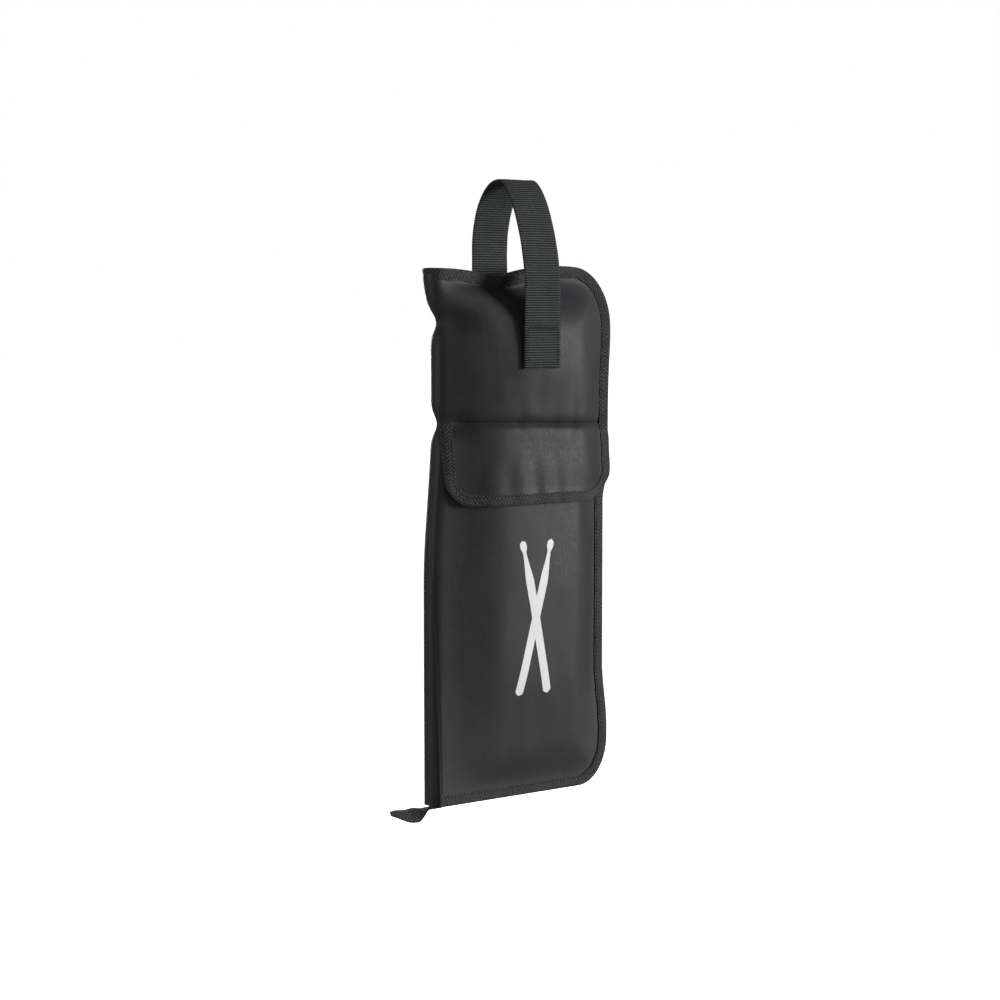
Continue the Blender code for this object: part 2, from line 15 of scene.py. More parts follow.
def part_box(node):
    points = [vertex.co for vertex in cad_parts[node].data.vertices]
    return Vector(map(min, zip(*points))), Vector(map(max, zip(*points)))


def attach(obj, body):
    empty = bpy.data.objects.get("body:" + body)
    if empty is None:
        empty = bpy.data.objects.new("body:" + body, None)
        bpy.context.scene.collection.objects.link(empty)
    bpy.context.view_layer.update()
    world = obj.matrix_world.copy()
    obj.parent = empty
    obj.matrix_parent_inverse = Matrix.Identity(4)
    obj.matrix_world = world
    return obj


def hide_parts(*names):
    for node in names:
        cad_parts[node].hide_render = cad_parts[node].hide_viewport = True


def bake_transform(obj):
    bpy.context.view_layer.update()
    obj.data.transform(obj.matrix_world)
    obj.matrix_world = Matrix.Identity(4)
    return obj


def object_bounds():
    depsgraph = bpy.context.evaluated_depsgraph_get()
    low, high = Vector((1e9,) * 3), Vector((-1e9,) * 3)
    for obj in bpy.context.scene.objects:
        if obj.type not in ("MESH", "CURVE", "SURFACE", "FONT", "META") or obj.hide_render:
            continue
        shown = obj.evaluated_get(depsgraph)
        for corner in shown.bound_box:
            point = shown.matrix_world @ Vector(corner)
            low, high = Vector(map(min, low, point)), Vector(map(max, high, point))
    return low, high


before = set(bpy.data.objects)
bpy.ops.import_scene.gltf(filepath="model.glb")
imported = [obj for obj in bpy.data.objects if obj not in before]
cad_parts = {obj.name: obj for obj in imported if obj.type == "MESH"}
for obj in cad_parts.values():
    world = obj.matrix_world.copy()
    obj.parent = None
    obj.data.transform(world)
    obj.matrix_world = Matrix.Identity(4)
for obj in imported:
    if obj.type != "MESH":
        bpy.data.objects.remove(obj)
CAD_BOX = [list(corner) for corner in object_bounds()]

MM = 0.001
FRONT = -1
BACK = 1

# The covers
WIDTH = 190
HEIGHT = 457
SPINE_R = 10
HALF_EDGE = 10
TOP_CORNER = (37, 48)
BOTTOM_CORNER = (32, 42)
FABRIC = 0.8
LINING = 0.6
GAP = 0.3
FOAM = 3.2
FOAM_START = 15
UPPER_RISE = 26.3
SEAM_RISE = 21.5
LOWER_RISE = 13.5
BOTTOM_FALL = 6.5
BACK_RISE = 26
PANEL_INSET = 1.3

# Edge binding
BINDING = 10
BINDING_START = 6.5
TAPE = 0.8
TAPE_LOW = 6.6
TAPE_HIGH = 12.3
TAPE_TURN = 5.5

# Pocket, flap and strips on the front
POCKET_LEFT = (7, 0.5)
POCKET_TOP = 306
POCKET_ROOM = 6.5
FLAP_SEAM = 326
FLAP_BOTTOM = 256.5
FLAP_LEFT = 1.0
FLAP_RIGHT = 189
FLAP_CORNER = 24
FLAP_SLANT = 7.0
FLAP_BINDING = 9.5
FLAP_LIFT = 3.4
FLAP_TURN = (FLAP_SEAM - 1, FLAP_SEAM - 12)
STRIP_X = (55, 135)
STRIP_Z = (262, 282)
STRIP = 1.0

# Stick pockets
STICK_X = (35, 165)
STICK_Z = (23, 306)
STICK_ROOM = 7

# Handle
STRAP_X = 95
STRAP_HALF = 19
STRAP = 1.6
STRAP_END = 372
STRAP_SEWN = 411
ARCH_TURN = 440
ARCH = {FRONT: (ARCH_TURN, 1.7), BACK: (471, 2.0)}
ARCH_TOP = 533
STRAP_FACE = {FRONT: 36.9, BACK: 36.4}

# Zip
ZIP = "zip"
ZIP_INSET = 6
ZIP_START = 12
TOOTH_PITCH = 2.6
SLIDER_X = 22
CHAIN_DEPTH = 2.4
SLIDER_TOP = HEIGHT - ZIP_INSET + 1.59
# Height over the middle plane and half width of a tooth
TOOTH_SHAPE = ((-0.55, 0.55), (0.4, 0.72), (1.4, 0.5), (2.9, 0.62))
# Share of the length and half width
PLATE_SHAPE = ((-1, 0.62), (-0.8, 0.86), (-0.2, 1.0), (0.45, 1.0), (0.8, 0.86), (1, 0.5))
PULL_SHAPE = (
    (0, 2.2), (0.03, 3.0), (0.06, 3.2), (0.32, 3.2), (0.40, 2.5), (0.48, 2.3),
    (0.56, 2.8), (0.64, 3.2), (0.9, 3.2), (0.97, 2.6), (1.0, 1.6),
)

# Tail tab
TAB_ROOT = 14
TAB_LENGTH = 51
TAB_HALF = 7.9
TAB_DROP = 3.7
TAB_TILT = radians(42)

# Where the fabric is drawn in
PINCH_Z = (412, 326)

# Upright folds: middle, lift and half width
SEAM_PUCKERS = ((78, 0.7, 6), (96, 0.2, 5), (113, 0.25, 8), (136, 0.9, 4), (141, 0.4, 9))
HANGING_FOLDS = ((85, 0.2, 5), (97, -0.12, 4), (109, 0.22, 7), (128, 0.12, 4))
FLAP_FOLDS = (
    (50, 0.7, 9), (66, -0.6, 7), (78, 0.8, 7.5), (93, -0.7, 6), (104, 0.4, 8),
    (116, -0.6, 5), (126, 0.45, 7), (143, -0.5, 9), (158, 0.3, 6),
)

edge_low, edge_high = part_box("front_edge_binding")
ORIGIN = Vector((edge_high[0] - WIDTH * MM, 0, edge_low[2]))


# ---- small maths


def clamp(t):
    return min(1.0, max(0.0, t))


def smooth(t):
    t = clamp(t)
    return t * t * (3 - 2 * t)


def bell(t):
    return exp(-t * t)


def mix(a, b, t):
    return a + (b - a) * t


def ramp(value, start, end):
    return smooth((value - start) / (end - start))


def rough(x, z, size, seed=0.0):
    """Smooth noise from -1 to 1 over the bag's plane."""
    return noise.noise(Vector((x / size, z / size, seed)))


def spread(start, end, count):
    return [mix(start, end, i / count) for i in range(count + 1)]


def spaced(start, end, step):
    return spread(start, end, max(1, ceil(abs(end - start) / step - 1e-6)))


# ---- shape of the bag


def spine_shift(z):
    """How far the spine is drawn towards the free edge."""
    wide = 8 * ramp(z, 452, 405) * ramp(z, 190, 330)
    return wide + 4.5 * squeeze(z)


def squeeze(z):
    return sum(bell((z - middle) / 10) for middle in PINCH_Z)


def warped(x, y, z, hump=1.0):
    """The bag's plane drawn in where its seams and its own weight pull it."""
    near = ramp(x, 60, 0)
    far = ramp(x, 110, 188)
    pulled = ramp(z, 50, 110) * ramp(z, 284, 254)
    dip = 6 * bell((x - 76) / (36 if x < 76 else 24))
    dip -= hump * 2.6 * bell((x - 138) / 26)
    dip *= ramp(z, 395, 452)
    slope = 4 * ramp(x, 40, 185)
    slope *= ramp(z, 258, 305) * ramp(z, 365, 330)
    swollen = 2.4 * bell((z - 402) / 36)
    new_x = x + spine_shift(z) * near + (swollen - 5.5 * pulled) * far
    new_y = y * (1 - 0.42 * squeeze(z) * ramp(x, 40, 4))
    return Vector((new_x, new_y, z - dip - slope))


def placed(point, stiff=False):
    """A point of the bag frame in the world. The zip runs straighter than the cloth round it."""
    if stiff == ZIP:
        return warped(*point, hump=0.0) * MM + ORIGIN
    return (Vector(point) if stiff else warped(*point)) * MM + ORIGIN


def corners(z):
    """Each corner's radii, and how far a height is past the corner's start."""
    return (TOP_CORNER, z - HEIGHT + TOP_CORNER[1]), (BOTTOM_CORNER, BOTTOM_CORNER[1] - z)


def edge_distance(x, z):
    """How far inside the cover's rounded outline a point is, the spine side left out."""
    for (rx, rz), beyond in corners(z):
        across = x - (WIDTH - rx)
        if across > 0 and beyond > 0:
            reach = hypot(across / rx, beyond / rz)
            size = hypot(across, beyond)
            return min(size / reach - size, WIDTH - x, HEIGHT - z, z)
    return min(WIDTH - x, HEIGHT - z, z)


def right_edge(z, inset):
    """X of the outline's free side at a height."""
    for (rx, rz), beyond in corners(z):
        if beyond > 0:
            share = min(1.0, beyond / (rz - inset))
            return WIDTH - rx + (rx - inset) * sqrt(1 - share * share)
    return WIDTH - inset


def across(x):
    """The stuffed cover's section: a straight slope from the spine to a soft ridge, then a dome."""
    u = clamp((x - SPINE_R) / (WIDTH + 10 - SPINE_R))
    slope = 3.5 * u + 1e-9
    dome = 1 - abs(2 * u - 1) ** 2.6 + 1e-9
    return slope * dome / (slope**8 + dome**8) ** (1 / 8)


def pillow(x, z):
    v = 2 * (z - BINDING) / (HEIGHT - 2 * BINDING) - 1
    along = 1 - min(1.0, abs(v)) ** 12
    above = mix(13, 46, ramp(x, 40, 130))
    band = mix(40, above, ramp(z, 330, 400))
    share = 1 - clamp((edge_distance(x, z) - 9.3) / band)
    return across(x) * along * (1 - share * share)


def soft_dents(x, z, seed):
    """Broad shallow unevenness of padded cloth, none at the edges."""
    inside = ramp(edge_distance(x, z), 8, 40) * ramp(x, 8, 30)
    broad = 0.9 * rough(x, z, 55, seed)
    fine = 0.35 * rough(x, 0.45 * z, 16, seed + 7)
    return inside * (broad + fine)


def folded(x, folds):
    """Lift of a row of upright folds."""
    return sum(lift * bell((x - middle) / wide) for middle, lift, wide in folds)


def seam_puckers(x, z):
    """Short upright tucks in the cloth just above the flap's seam."""
    return folded(x - 0.12 * (z - FLAP_SEAM), SEAM_PUCKERS) * ramp(z, 352, 329)


def hanging_folds(x, z):
    """Faint upright folds below the handle's sewn end."""
    return folded(x, HANGING_FOLDS) * ramp(z, 330, 345) * ramp(z, 384, 362)


def swell_front(x, z):
    rise = mix(SEAM_RISE, UPPER_RISE, ramp(z, FLAP_SEAM, 380))
    rise -= (SEAM_RISE - LOWER_RISE) * ramp(z, 323, 308)
    rise -= BOTTOM_FALL * ramp(z, 200, 40)
    return HALF_EDGE + rise * pillow(x, z)


def swell_back(x, z):
    """The back swells too, but is flat in the middle."""
    p = 1.25 * pillow(x, z) + 1e-9
    return HALF_EDGE + BACK_RISE * p / (1 + p**8) ** 0.125


def lead_in(swell, z):
    """How much the spine's round opens out to run smoothly into the cover's slope."""
    step = 0.5
    slope = (swell(SPINE_R + step, z) - swell(SPINE_R, z)) / step
    return min(2.2, slope * SPINE_R / 3)


def from_spine(swell, x, z):
    """The swollen cover carried on round the spine."""
    lead = lead_in(swell, z)
    if x < SPINE_R:
        return sqrt(max(0.0, x * (2 * SPINE_R - x))) + lead * max(0.0, x / SPINE_R) ** 3
    return swell(x, z) + lead * ramp(x, 70, SPINE_R)


def shell_front(x, z):
    """Height of the front cover's outer face."""
    height = from_spine(swell_front, x, z)
    if z > 318:
        calm = 1 - ramp(z, 366, 374) * bell((x - STRAP_X) / 26) ** 0.5
        height += calm * soft_dents(x, z, 1.0)
        held = ramp(z, 362, 372) * ramp(z, 425, 411)
        height += 1.1 * held * bell((x - 74) / 10)
        height += hanging_folds(x, z) - seam_puckers(x, z) * pillow(x, z)
        past = abs(z - FLAP_SEAM - 1.3)
        valley = 2.6 * exp(-past / 2.2) + 0.8 * bell(past / 6)
        height -= valley * ramp(x, 6, 24) * ramp(x, 186, 170)
    return height


def shell_back(x, z):
    """Height of the back cover's outer face."""
    p = 1.25 * pillow(x, z)
    dents = 0.6 * soft_dents(x, z, 4.0) * (1 - 0.9 * ramp(p, 0.6, 1.1))
    return from_spine(swell_back, x, z) + dents


def pocket_left(z):
    """X of the pocket's folded side, which leans on to the spine's round."""
    return mix(*POCKET_LEFT, clamp((z - 10) / 240))


def pocket_room(x, z):
    left = ramp(x, 12, 66)
    right = ramp(x, WIDTH - BINDING, WIDTH - BINDING - 40)
    return POCKET_ROOM * left * right * ramp(z, 12, 110)


def pocket_front(x, z):
    """Height of the accessory pocket's outer face."""
    height = shell_front(x, min(z, 304)) + GAP + FABRIC + pocket_room(x, z)
    return height + 0.7 * soft_dents(x, z, 2.0)


def flap_folds(x, z):
    """Soft upright folds that grow towards the flap's bound edge."""
    return folded(x + 0.1 * (z - FLAP_BOTTOM), FLAP_FOLDS) * ramp(z, 312, 272)


def flap_back(x, z):
    """Height of the flap's hidden face."""
    hem = 0.8 * ramp(z, FLAP_BOTTOM + 16, FLAP_BOTTOM + 4)
    root = shell_front(x, z) - 0.95
    lift = mix(FLAP_LIFT, 1.9, ramp(z, 286, 310))
    free = pocket_front(x, z) + lift + max(-0.9, flap_folds(x, z)) + hem
    rise = clamp((FLAP_SEAM - z) / 18)
    return mix(root, free, rise * (2 - rise))


def flap_front(x, z):
    return flap_back(x, z) + FABRIC


def padding_depth(x, z):
    inside = min(edge_distance(x, z), x + 9)
    return FOAM * ramp(inside, 14, 36)


def lining_face(face):
    """Outer height of the lining under a cover's face."""

    def height(x, z):
        flat = face(x, z) - soft_dents(x, z, 1.0) if face is shell_front else face(x, z)
        return min(flat, face(x, z)) - FABRIC - 2 * GAP - padding_depth(x, z)

    return height


def stick_pocket_face(face):
    """Height of a stick pocket's face that looks at the lining."""
    lining = lining_face(face)

    def height(x, z):
        left = ramp(x, STICK_X[0], STICK_X[0] + 30)
        right = ramp(x, STICK_X[1], STICK_X[1] - 30)
        room = STICK_ROOM * left * right * ramp(z, STICK_Z[0], STICK_Z[0] + 40)
        return lining(x, z) - LINING - GAP - room

    return height


# ---- meshes


def add_piece(name, points, faces, uvs, material, stiff=False, smooth_angle=40):
    """A mesh object from bag-frame points, with its cloth coordinates in metres."""
    mesh = bpy.data.meshes.new(name)
    mesh.from_pydata([placed(p, stiff) for p in points], [], faces)
    mesh.validate()
    layer = mesh.uv_layers.new(name="cloth")
    for loop in mesh.loops:
        layer.data[loop.index].uv = [MM * c for c in uvs[loop.vertex_index]]
    mesh.materials.append(material)
    bm = bmesh.new()
    bm.from_mesh(mesh)
    bmesh.ops.recalc_face_normals(bm, faces=bm.faces[:])
    bm.to_mesh(mesh)
    bm.free()
    mesh.shade_smooth()
    mesh.set_sharp_from_angle(angle=radians(smooth_angle))
    obj = bpy.data.objects.new(name, mesh)
    bpy.context.collection.objects.link(obj)
    return obj


def finished(piece, nodes, body=None):
    """Hides the nodes a piece stands for and attaches the piece to its body."""
    if nodes:
        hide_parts(*nodes.split())
    if body:
        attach(piece, body)


def closed_sheet(outer, inner):
    """Points and faces of a sheet between two equal grids of points."""
    rows, columns = len(outer), len(outer[0])
    points = [p for row in outer for p in row] + [p for row in inner for p in row]
    shift = rows * columns
    faces = []
    for j in range(rows - 1):
        for i in range(columns - 1):
            a = j * columns + i
            quad = (a, a + 1, a + columns + 1, a + columns)
            faces.append(quad)
            faces.append(tuple(shift + k for k in reversed(quad)))
    rim = list(range(columns))
    rim += [j * columns + columns - 1 for j in range(1, rows)]
    rim += [(rows - 1) * columns + i for i in reversed(range(columns - 1))]
    rim += [j * columns for j in reversed(range(1, rows - 1))]
    for a, b in zip(rim, rim[1:] + rim[:1]):
        faces.append((b, a, shift + a, shift + b))
    return points, faces


def add_sheet(name, side, xs_at, zs, high, low, material):
    """A fabric sheet over part of the plane, between two height functions."""
    outer, inner, uvs = [], [], []
    for z in zs:
        xs = xs_at(z)
        outer.append([(x, side * high(x, z), z) for x in xs])
        inner.append([(x, side * low(x, z), z) for x in xs])
        uvs += [(x, z) for x in xs]
    points, faces = closed_sheet(outer, inner)
    return add_piece(name, points, faces, uvs * 2, material)


def tube(rings):
    """Points and faces of a closed body through rings of points, with flat ends."""
    count = len(rings[0])
    points = [p for ring in rings for p in ring]
    faces = []
    for j in range(len(rings) - 1):
        for i in range(count):
            k = (i + 1) % count
            a, b = j * count, (j + 1) * count
            faces.append((a + i, a + k, b + k, b + i))
    faces.append(tuple(range(count)))
    faces.append(tuple(reversed(range(len(points) - count, len(points)))))
    return points, faces


def swept(name, rings, uvs, material, stiff=False, smooth_angle=40):
    return add_piece(name, *tube(rings), uvs, material, stiff, smooth_angle)


def joined(name, parts, material, stiff=False, smooth_angle=40):
    """One piece from several closed bodies given as (points, faces)."""
    points, faces = [], []
    for more_points, more_faces in parts:
        start = len(points)
        points += more_points
        faces += [tuple(start + i for i in face) for face in more_faces]
    uvs = [(p[0], p[2]) for p in points]
    return add_piece(name, points, faces, uvs, material, stiff, smooth_angle)


# ---- paths


def outline(inset, start, step=4, top_start=None):
    """Round the cover's three open sides: x, z, inward normal and length so far."""
    base = [(x, 0.0, 0.0, 1.0) for x in spaced(start, WIDTH - BOTTOM_CORNER[0], step)]
    base += corner_points(BOTTOM_CORNER, BOTTOM_CORNER[1], -90, 0)
    middle = spaced(BOTTOM_CORNER[1], HEIGHT - TOP_CORNER[1], step)
    base += [(WIDTH, z, -1.0, 0.0) for z in middle[1:]]
    base += corner_points(TOP_CORNER, HEIGHT - TOP_CORNER[1], 0, 90)
    top = spaced(WIDTH - TOP_CORNER[0], start if top_start is None else top_start, step)
    base += [(x, HEIGHT, 0.0, -1.0) for x in top[1:]]
    moved = [(x + nx * inset, z + nz * inset, nx, nz) for x, z, nx, nz in base]
    return with_length(moved)


def corner_points(radii, centre_z, start, end, steps=18):
    rx, rz = radii
    points = []
    for i in range(1, steps + 1):
        a = radians(mix(start, end, i / steps))
        nx, nz = -cos(a) / rx, -sin(a) / rz
        size = hypot(nx, nz)
        x, z = WIDTH - rx + rx * cos(a), centre_z + rz * sin(a)
        points.append((x, z, nx / size, nz / size))
    return points


def with_length(points):
    made, total = [], 0.0
    for i, (x, z, nx, nz) in enumerate(points):
        if i:
            total += hypot(x - points[i - 1][0], z - points[i - 1][1])
        made.append((x, z, nx, nz, total))
    return made


def flap_outline(inset, step=2.4):
    """Down the flap's left side, along its bottom and up its right side."""
    top, low, r = FLAP_SEAM - 0.4, FLAP_BOTTOM + FLAP_CORNER, FLAP_CORNER

    def corner(x, start):
        turns = (radians(start + 90 * i / 14) for i in range(1, 15))
        return [(x + r * cos(a), low + r * sin(a), -cos(a), -sin(a)) for a in turns]

    path = [(FLAP_LEFT, z, 1.0, 0.0) for z in spaced(top, low, step)]
    path += corner(FLAP_LEFT + r, 180)
    path += [(x, FLAP_BOTTOM, 0.0, 1.0) for x in spaced(FLAP_LEFT + r, FLAP_RIGHT - r, step)[1:]]
    path += corner(FLAP_RIGHT - r, 270)
    path += [(FLAP_RIGHT, z, -1.0, 0.0) for z in spaced(low, top, step)[1:]]
    moved = [(x + nx * inset, z + nz * inset, nx, nz) for x, z, nx, nz in path]
    return with_length([(slanted(x, z), z, nx, nz) for x, z, nx, nz in moved])


def slanted(x, z):
    """The flap's left side leans in below its seam."""
    down = clamp((FLAP_SEAM - z) / (FLAP_SEAM - FLAP_BOTTOM))
    return x + FLAP_SLANT * down**1.7 * ramp(x, 70, 0)


def at_length(path, length):
    """The path's point and normal at a length from its start."""
    for a, b in zip(path, path[1:]):
        if b[4] >= length:
            t = (length - a[4]) / max(1e-9, b[4] - a[4])
            return [mix(p, q, t) for p, q in zip(a, b)]
    return list(path[-1])


# ---- stitches


def stitch_body(a, b, up, radius):
    """One raised thread stitch from a to b as a small tapered body."""
    along = (b - a).normalized()
    sideways = along.cross(up).normalized()
    length = (b - a).length
    rings = []
    for share, size, rise in ((0, 0.45, -0.5), (0.25, 1, 0.35), (0.75, 1, 0.35), (1, 0.45, -0.5)):
        centre = a + along * (share * length) + up * (rise * radius)
        ring = []
        for k in range(6):
            turn = radians(60 * k)
            reach = sideways * cos(turn) + up * sin(turn)
            ring.append(tuple(centre + reach * (radius * size)))
        rings.append(ring)
    return tube(rings)


def stitch_line(points, up_at, pitch=3.2, share=0.72, radius=0.28):
    """Stitches along a line of bag-frame points. up_at gives the way out of the cloth."""
    path, total = [], 0.0
    for i, point in enumerate(points):
        total += dist(point, points[max(0, i - 1)])
        path.append((*point, 0.0, total))
    bodies = []
    for i in range(int(total / pitch)):
        a, b = (Vector(at_length(path, (i + way) * pitch)[:3]) for way in (0, share))
        bodies.append(stitch_body(a, b, Vector(up_at((a + b) / 2)), radius))
    return bodies


def sew(name, bodies, thread, body=None, stiff=False):
    stitches = joined(name, bodies, thread, stiff)
    finished(stitches, "", body)
    return stitches


# ---- material nodes


class Nodes:
    """A node tree and short ways to add to it."""

    def __init__(self, tree):
        self.tree = tree

    def add(self, kind, links=(), inputs=(), **values):
        """A node with settings by attribute, and linked and plain inputs by index or name."""
        made = self.tree.nodes.new(kind)
        for key, value in values.items():
            setattr(made, key, value)
        for key, value in dict(inputs).items():
            made.inputs[key].default_value = value
        for key, source in dict(links).items():
            self.tree.links.new(source, made.inputs[key])
        return made

    def maths(self, operation, *values):
        plain = {i: v for i, v in enumerate(values) if isinstance(v, (int, float))}
        links = {i: v for i, v in enumerate(values) if i not in plain}
        return self.add("ShaderNodeMath", links, plain, operation=operation).outputs[0]

    def total(self, start, *terms):
        """start and then each value times its share, added up."""
        for value, share in terms:
            start = self.maths("MULTIPLY_ADD", value, share, start)
        return start

    def place(self):
        return self.add("ShaderNodeTexCoord").outputs["Object"]

    def waves(self, value, pitch):
        """0 to 1 and back over each pitch of a coordinate."""
        turned = self.maths("MULTIPLY", value, 2 * pi / pitch)
        return self.total(0.5, (self.maths("SINE", turned), 0.5))

    def noise(self, vector, size, detail=3.0, roughness=0.55):
        values = {"Scale": 1 / size, "Detail": detail, "Roughness": roughness}
        return self.add("ShaderNodeTexNoise", {"Vector": vector}, values).outputs["Fac"]

    def camera_ray(self):
        return self.add("ShaderNodeLightPath").outputs["Is Camera Ray"]


class Cloth(Nodes):
    """A material in the making."""

    def __init__(self, name):
        self.material = bpy.data.materials.new(name)
        self.material.use_nodes = True
        super().__init__(self.material.node_tree)
        self.shader = self.tree.nodes["Principled BSDF"]

    def cloth_uv(self):
        """The piece's cloth coordinates, together, across and along, in metres."""
        uv = self.add("ShaderNodeUVMap", uv_map="cloth").outputs["UV"]
        split = self.add("ShaderNodeSeparateXYZ", {"Vector": uv}).outputs
        return uv, split["X"], split["Y"]

    def link(self, **sources):
        for key, source in sources.items():
            self.tree.links.new(source, self.shader.inputs[key.replace("_", " ")])

    def finish(self, height, depth, strength, shade, stops, roughness, **numbers):
        """Joins a height, a shade and a roughness to the shader, and sets its plain numbers."""
        values = {"Strength": strength, "Distance": depth}
        bump = self.add("ShaderNodeBump", {"Height": height}, values)
        tint = self.add("ShaderNodeValToRGB", {"Fac": shade})
        elements = tint.color_ramp.elements
        while len(elements) < len(stops):
            elements.new(0.5)
        for element, (position, colour) in zip(elements, stops):
            element.position = position
            element.color = (*colour, 1.0)
        self.link(Normal=bump.outputs[0], Base_Color=tint.outputs["Color"], Roughness=roughness)
        for key, value in numbers.items():
            self.shader.inputs[key.replace("_", " ")].default_value = value
        return self.material


def shades(colour, *stops):
    """Colour stops as shares of one colour."""
    return [(position, tuple(c * scale for c in colour)) for position, scale in stops]


def twill_material(name, colour, pitch, gloss):
    """Coated nylon: a fine twill with satin gloss and uneven tone, its raised threads painted lighter
    and its hollows painted darker (painted light and painted shade).
    """
    c = Cloth(name)
    uv, across_it, along_it = c.cloth_uv()
    place = c.place()
    ribs = c.waves(c.total(across_it, (along_it, 0.8)), pitch)
    threads = c.waves(along_it, pitch * 0.62)
    weave = c.total(0.0, (ribs, 0.6), (threads, 0.4))
    height = c.total(weave, (c.noise(uv, 0.5 * MM, 2.0), 0.5))
    patches = c.noise(place, 38 * MM, 4.0)
    lint = c.noise(place, 2.2 * MM, 5.0, 0.75)
    drawn = c.add("ShaderNodeMapping", {"Vector": uv}, {"Scale": (1, 0.045, 1)}).outputs["Vector"]
    streaks = c.noise(drawn, 1.5 * MM, 3.0, 0.6)
    return c.finish(
        height, 0.12 * MM, 0.5,
        # Colour: the weave's height paints the raised threads lighter and the hollows darker (painted
        # light and shade); patches, lint and streaks are random tone.
        c.total(0.0, (weave, 0.25), (patches, 0.3), (lint, 0.42), (streaks, 0.25)),
        shades(colour, (0.35, 0.6), (0.6, 1), (0.85, 1.6)),
        c.total(gloss - 0.37, (patches, 0.14), (streaks, 0.16), (lint, 0.5)),
        Sheen_Weight=0.04, Sheen_Roughness=0.45, Specular_IOR_Level=0.28,
    )


def herringbone_material(name, colour, pitch, zone):
    """Binding tape: diagonal ribs that turn back at each zone across it, with paler worn patches at
    random, and painted light on the rib tops with painted shade in the hollows between them.
    """
    c = Cloth(name)
    uv, along_tape, across_tape = c.cloth_uv()
    fold = c.maths("PINGPONG", across_tape, zone)
    wobble = c.noise(uv, 2.5 * MM, 2.0)
    ribs = c.waves(c.total(along_tape, (fold, 1), (wobble, 0.35 * MM)), pitch)
    picks = c.waves(c.total(along_tape, (fold, -1)), pitch * 0.45)
    fibres = c.noise(uv, 0.4 * MM, 3.0)
    height = c.total(0.0, (ribs, 0.75), (picks, 0.25), (fibres, 0.35))
    worn = c.noise(c.place(), 9 * MM, 4.0)
    knots = c.noise(uv, 1.4 * MM, 2.0, 0.7)
    return c.finish(
        height, 0.35 * MM, 0.9,
        # Colour: random worn patches and knots, plus the ribs' height, which paints the rib tops
        # lighter and the hollows darker (painted light and shade).
        c.total(-0.4, (worn, 0.3), (height, 0.3), (knots, 1.15)),
        shades(colour, (0.28, 0.15), (0.5, 1), (0.75, 3.2)),
        c.total(0.6, (worn, 0.2)),
        Sheen_Weight=0.1, Sheen_Roughness=0.5, Specular_IOR_Level=0.25,
    )


def webbing_material(name, colour, rib):
    """Handle webbing: cross ribs with warp ends between them."""
    c = Cloth(name)
    uv, across_web, along_web = c.cloth_uv()
    ribs = c.waves(c.total(along_web, (c.noise(uv, 12 * MM, 2.0), 0.9 * MM)), rib)
    ends = c.waves(across_web, 1.1 * MM)
    fibres = c.noise(uv, 0.45 * MM, 3.0)
    height = c.total(0.0, (ribs, 0.8), (ends, 0.3), (fibres, 0.3))
    worn = c.noise(c.place(), 14 * MM, 4.0)
    knots = c.noise(uv, 1.3 * MM, 2.0, 0.7)
    return c.finish(
        height, 0.5 * MM, 0.9,
        # Colour: the ribs' height paints their tops light and the hollows between them nearly black
        # (painted light and shade); worn patches and knots are random tone.
        c.total(-0.14, (worn, 0.2), (height, 0.6), (knots, 0.4)),
        shades(colour, (0.28, 0.05), (0.55, 1), (0.85, 3.8)),
        c.total(0.52, (worn, 0.2)),
        Sheen_Weight=0.06, Specular_IOR_Level=0.15,
    )


def plain_weave_material(name, colour, pitch, gloss=0.7):
    """Over-and-under weave for linings and zip tape."""
    c = Cloth(name)
    uv, across_it, along_it = c.cloth_uv()
    over, under = c.waves(across_it, pitch), c.waves(along_it, pitch)
    crossed = c.maths("ABSOLUTE", c.maths("SUBTRACT", over, under))
    height = c.total(crossed, (c.noise(uv, 0.5 * MM, 3.0), 0.35))
    patches = c.noise(c.place(), 30 * MM, 4.0)
    return c.finish(
        height, 0.15 * MM, 0.6,
        c.total(0.0, (patches, 0.5), (height, 0.35)),
        shades(colour, (0.2, 0.65), (0.5, 1), (0.85, 1.5)),
        c.total(gloss - 0.05, (patches, 0.15)),
        Sheen_Weight=0.15,
    )


def pile_material(name, colour, grain, gloss):
    """Foam, and the hook and loop strips: a coarse open pile."""
    c = Cloth(name)
    place = c.place()
    values = {"Scale": 1 / grain, "Randomness": 0.8}
    cells = c.add("ShaderNodeTexVoronoi", {"Vector": place}, values).outputs["Distance"]
    fuzz = c.noise(place, grain * 0.6, 4.0)
    height = c.total(cells, (fuzz, 0.6))
    return c.finish(
        height, 0.4 * MM, 0.9, height, shades(colour, (0.15, 0.4), (0.55, 1), (1.0, 1.8)),
        c.total(gloss, (fuzz, 0.1)), Sheen_Weight=0.3,
    )


def thread_material(name, colour):
    """Twisted sewing thread."""
    c = Cloth(name)
    place = c.place()
    split = c.add("ShaderNodeSeparateXYZ", {"Vector": place}).outputs
    twist = c.waves(c.total(split["X"], (split["Z"], 1)), 0.45 * MM)
    patches = c.noise(place, 6 * MM)
    return c.finish(
        twist, 0.08 * MM, 0.6, c.total(0.0, (twist, 0.5), (patches, 0.4)),
        shades(colour, (0.2, 0.6), (0.8, 1.5)),
        c.total(0.45, (patches, 0.2)), Specular_IOR_Level=0.15,
    )


def hard_material(name, colour, metallic, gloss, wear):
    """Zip teeth and slider: moulded or plated, scuffed where it is handled."""
    c = Cloth(name)
    place = c.place()
    scuffs = c.noise(place, 1.8 * MM, 6.0, 0.7)
    stains = c.noise(place, 7 * MM, 3.0)
    return c.finish(
        scuffs, 0.03 * MM, 0.5, scuffs, shades(colour, (0.35, 0.8), (0.58, 1), (0.74, wear)),
        c.total(gloss, (stains, 0.25)), Metallic=metallic,
    )


